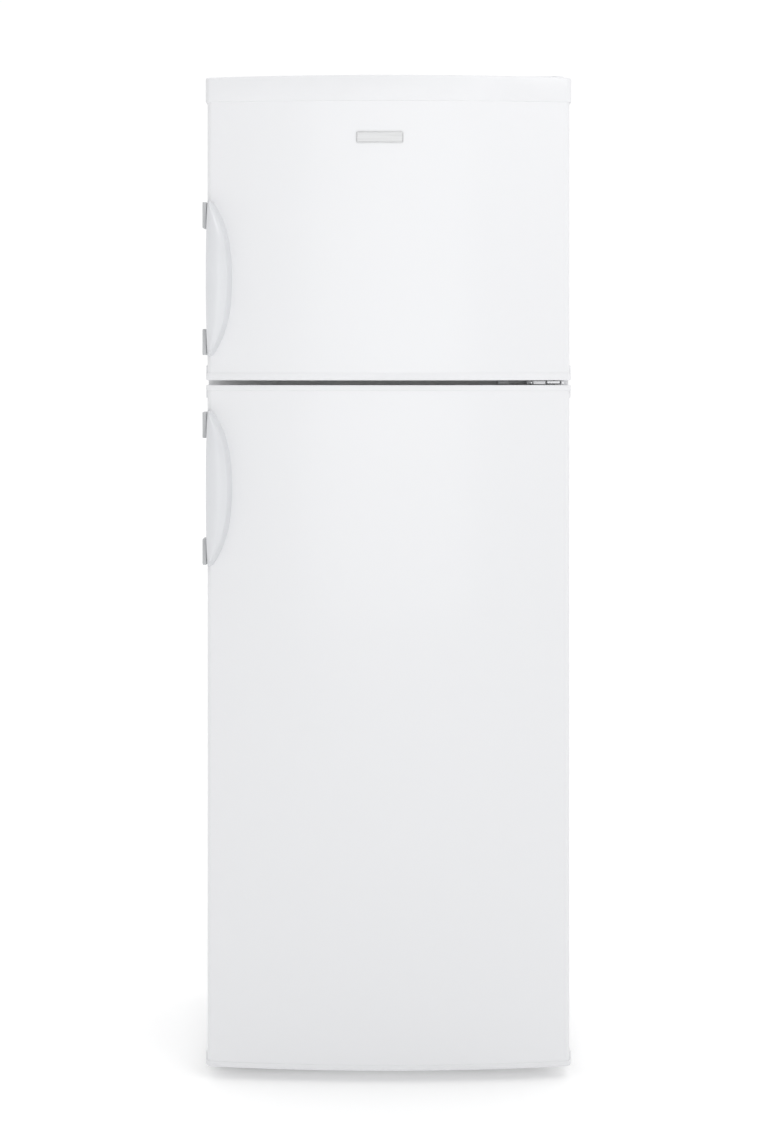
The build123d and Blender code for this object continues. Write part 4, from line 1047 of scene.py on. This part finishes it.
def rear_screws():
    """The screws round the edge of the rear panel."""
    low, high = span("rear_panel")
    inset, end_inset, rows = 7 * MM, 25 * MM, 6
    places = []
    for x in (low.x + inset, high.x - inset):
        for row in range(rows + 1):
            places.append((x, low.z + end_inset + (high.z - low.z - 2 * end_inset) * row / rows))
    places += [(x, high.z - 9 * MM) for x in (-140 * MM, 0.0, 140 * MM)]
    bm = bmesh.new()
    for x, z in places:
        screw_head(bm, (x, high.y - 0.2 * MM, z), (0, 1, 0), 4.2 * MM, 2.2 * MM)
    dress(piece("rear_panel_screws", bm, 30.0), "zinc_screws", "cabinet")


def front_foot(side):
    """A levelling foot: knurled disc, hexagon and threaded stud."""
    node = f"front_foot_{side}"
    low, high = span(node)
    x, y, _ = (low + high) / 2
    knurl_depth = 0.5
    bm = bmesh.new()
    rings = []
    for height, radius in ((0.0, 17.6), (0.8, 18.6), (1.4, 19.0), (5.4, 19.0), (6.4, 18.2), (7.0, 16.6)):
        ring = []
        for step, (u, v) in enumerate(circle(144)):
            is_cut = 1.0 < height < 6.0 and step % 4 < 2
            r = (radius - knurl_depth * is_cut) * MM
            ring.append((x + r * u, y + r * v, height * MM))
        rings.append(ring)
    loft(bm, rings)
    lathe(bm, ((11 * MM, 6.5 * MM), (11 * MM, 12.4 * MM), (10.2 * MM, 13 * MM)), (x, y, 0.0), 6)
    thread = []
    for step in range(27):
        thread += [(4.4 * MM, 12.5 * MM + step * MM), (5.0 * MM, 13.0 * MM + step * MM)]
    lathe(bm, [(radius, min(height, high.z)) for radius, height in thread], (x, y, 0.0), 24)
    settle(piece(f"{node}_knurled", bm), node)


# ================= stage, light and camera =================

def stage():
    """A pale floor that glows a little, so that the shadow stays faint."""
    bm = bmesh.new()
    bmesh.ops.create_grid(bm, x_segments=2, y_segments=2, size=40.0)
    floor = piece("studio_floor", bm)
    finish = Finish("studio_floor", (0.74, 0.74, 0.74), 0.8, Emission_Strength=0.3)
    finish.set("Emission Color", (1.0, 1.0, 1.0, 1.0))
    finish.mottle(finish.noise(1.5, 2.0), (0.735, 0.735, 0.735))
    floor.data.materials.append(finish.material)


def area_light(name, place, target, size, power):
    """A square softbox aimed at a point."""
    data = bpy.data.lights.new(name, "AREA")
    data.shape = "RECTANGLE"
    data.size = data.size_y = size
    data.energy = power
    obj = bpy.data.objects.new(name, data)
    obj.location = place
    aim = Vector(target) - Vector(place)
    obj.rotation_euler = aim.to_track_quat("-Z", "Y").to_euler()
    bpy.context.scene.collection.objects.link(obj)


def facing(tree, direction, cosines, levels):
    """How bright the sky is towards a direction: from one level to the other between two cosines."""
    where = wired(tree, "TexCoord", {})["Generated"]
    along = wired(tree, "VectorMath", {0: where, 1: direction}, operation="DOT_PRODUCT")["Value"]
    return ranged(tree, along, cosines, levels, "SMOOTHSTEP")


def combined(tree, operation, result, *others):
    """Brightnesses added or multiplied together."""
    for other in others:
        result = wired(tree, "Math", {0: result, 1: other}, operation=operation)["Value"]
    return result


def studio():
    """A white sweep behind, a dimmer room in front, a softbox up on the right and a weaker one in front."""
    up = (0.0, 0.0, 1.0)
    everywhere = 1.03
    world = bpy.data.worlds.new("studio")
    world.use_nodes = True
    tree = world.node_tree
    backdrop = tree.nodes["Background"]
    backdrop.inputs["Color"].default_value = (1.0, 1.0, 1.0, 1.0)
    room = facing(tree, (0.0, 1.0, 0.0), (-0.6, 0.25), (-0.61, 0.0))
    above = facing(tree, up, (0.0, 0.3), (0.0, 1.0))
    dim_left = facing(tree, (-1.0, 0.0, 0.0), (0.3, 0.95), (0.0, -0.30))
    dim_right = facing(tree, (1.0, 0.0, 0.0), (0.25, 0.8), (0.0, -0.24))
    overhead = facing(tree, up, (0.2, 0.9), (0.0, 0.42))
    dims = combined(tree, "MULTIPLY", combined(tree, "ADD", room, dim_left, dim_right), above)
    tree.links.new(combined(tree, "ADD", dims, overhead, everywhere), backdrop.inputs["Strength"])
    bpy.context.scene.world = world
    area_light("key", (1.0, -2.1, 2.75), (0.0, -0.3, 1.2), 1.2, 16.0)
    area_light("fill", (0.0, -4.4, 1.2), (0.0, -0.3, 1.15), 1.8, 11.0)
    settings = bpy.context.scene.view_settings
    settings.view_transform = "Standard"
    settings.look = "None"


def camera():
    """Level, a little above the middle of the front, with the frame shifted down."""
    distance = 3.7
    shown_height = 1.8552
    data = bpy.data.cameras.new("camera")
    data.sensor_fit = "AUTO"
    data.sensor_width = 36.0
    data.lens = data.sensor_width * distance / shown_height
    data.shift_y = -0.19
    data.clip_end = 100.0
    obj = bpy.data.objects.new("camera", data)
    obj.location = (-2.4 * MM, DOOR_FRONT - distance, 1170 * MM)
    obj.rotation_euler = (math.pi / 2, 0.0, 0.0)
    bpy.context.scene.collection.objects.link(obj)
    bpy.context.scene.camera = obj


# ================= build =================

for node_name, node_object in NODES.items():
    node_object.data.materials.clear()
    node_object.data.materials.append(FINISHES[SLOT_OF[node_name]].material)

for door_name in ("freezer", "fridge"):
    door_skin(door_name)
    grip(door_name)
    grip_covers(door_name)
    gasket(door_name)
    door_core(door_name)
    door_liner(door_name)
    door_bins(door_name)
end_caps("fridge", (5 * MM, SEAM), (SEAM, 2.2 * MM))
end_caps("freezer", (2.2 * MM, 0.4 * MM), (SEAM, 3.2 * MM), 2.0 * MM, TRIM_GROW)
name_plate()
hinge_screws()
middle_hinge()
liners()
for side_name in ("left", "right"):
    crisper(side_name)
    front_foot(side_name)
drip_pan()
thermostat_knob()
dial_marks()
lamp_lens()
compressor()
grommets()
condenser_wires()
rear_screws()

# The CAD pieces that are kept, and how far their edges are broken in millimetres.
BROKEN_EDGES = {
    "side_panel_left": 0.25, "side_panel_right": 0.25, "machine_room_shield": 0.2, "top_cover": 1.2,
    "rear_panel": 0.3, "front_rails": 0.2, "base_tray": 0.5, "top_hinge": 0.5, "bottom_hinge": 0.5,
    "top_hinge_cover": 0.6, "control_housing": 1.0, "shelf_trims": 1.0, "glass_shelves": 0.6,
    "freezer_shelf": 0.8, "ice_tray": 0.9, "air_duct_cover": 0.6, "evaporator_cover": 0.4, "start_relay_box": 0.6,
    "dairy_lid": 0.7, "door_switch_body": 0.4, "door_switch_button": 0.3, "rear_roller_left": 0.3,
    "rear_roller_right": 0.3, "fan_motor": 0.5, "fan_impeller": 0.3, "condenser_coil": 0.0,
    "refrigerant_pipes": 0.0, "lamp_bulb": 0.0, "evaporator": 0.0,
}
for node_name, edge in BROKEN_EDGES.items():
    softened(node_name, edge * MM)

stage()
studio()
camera()
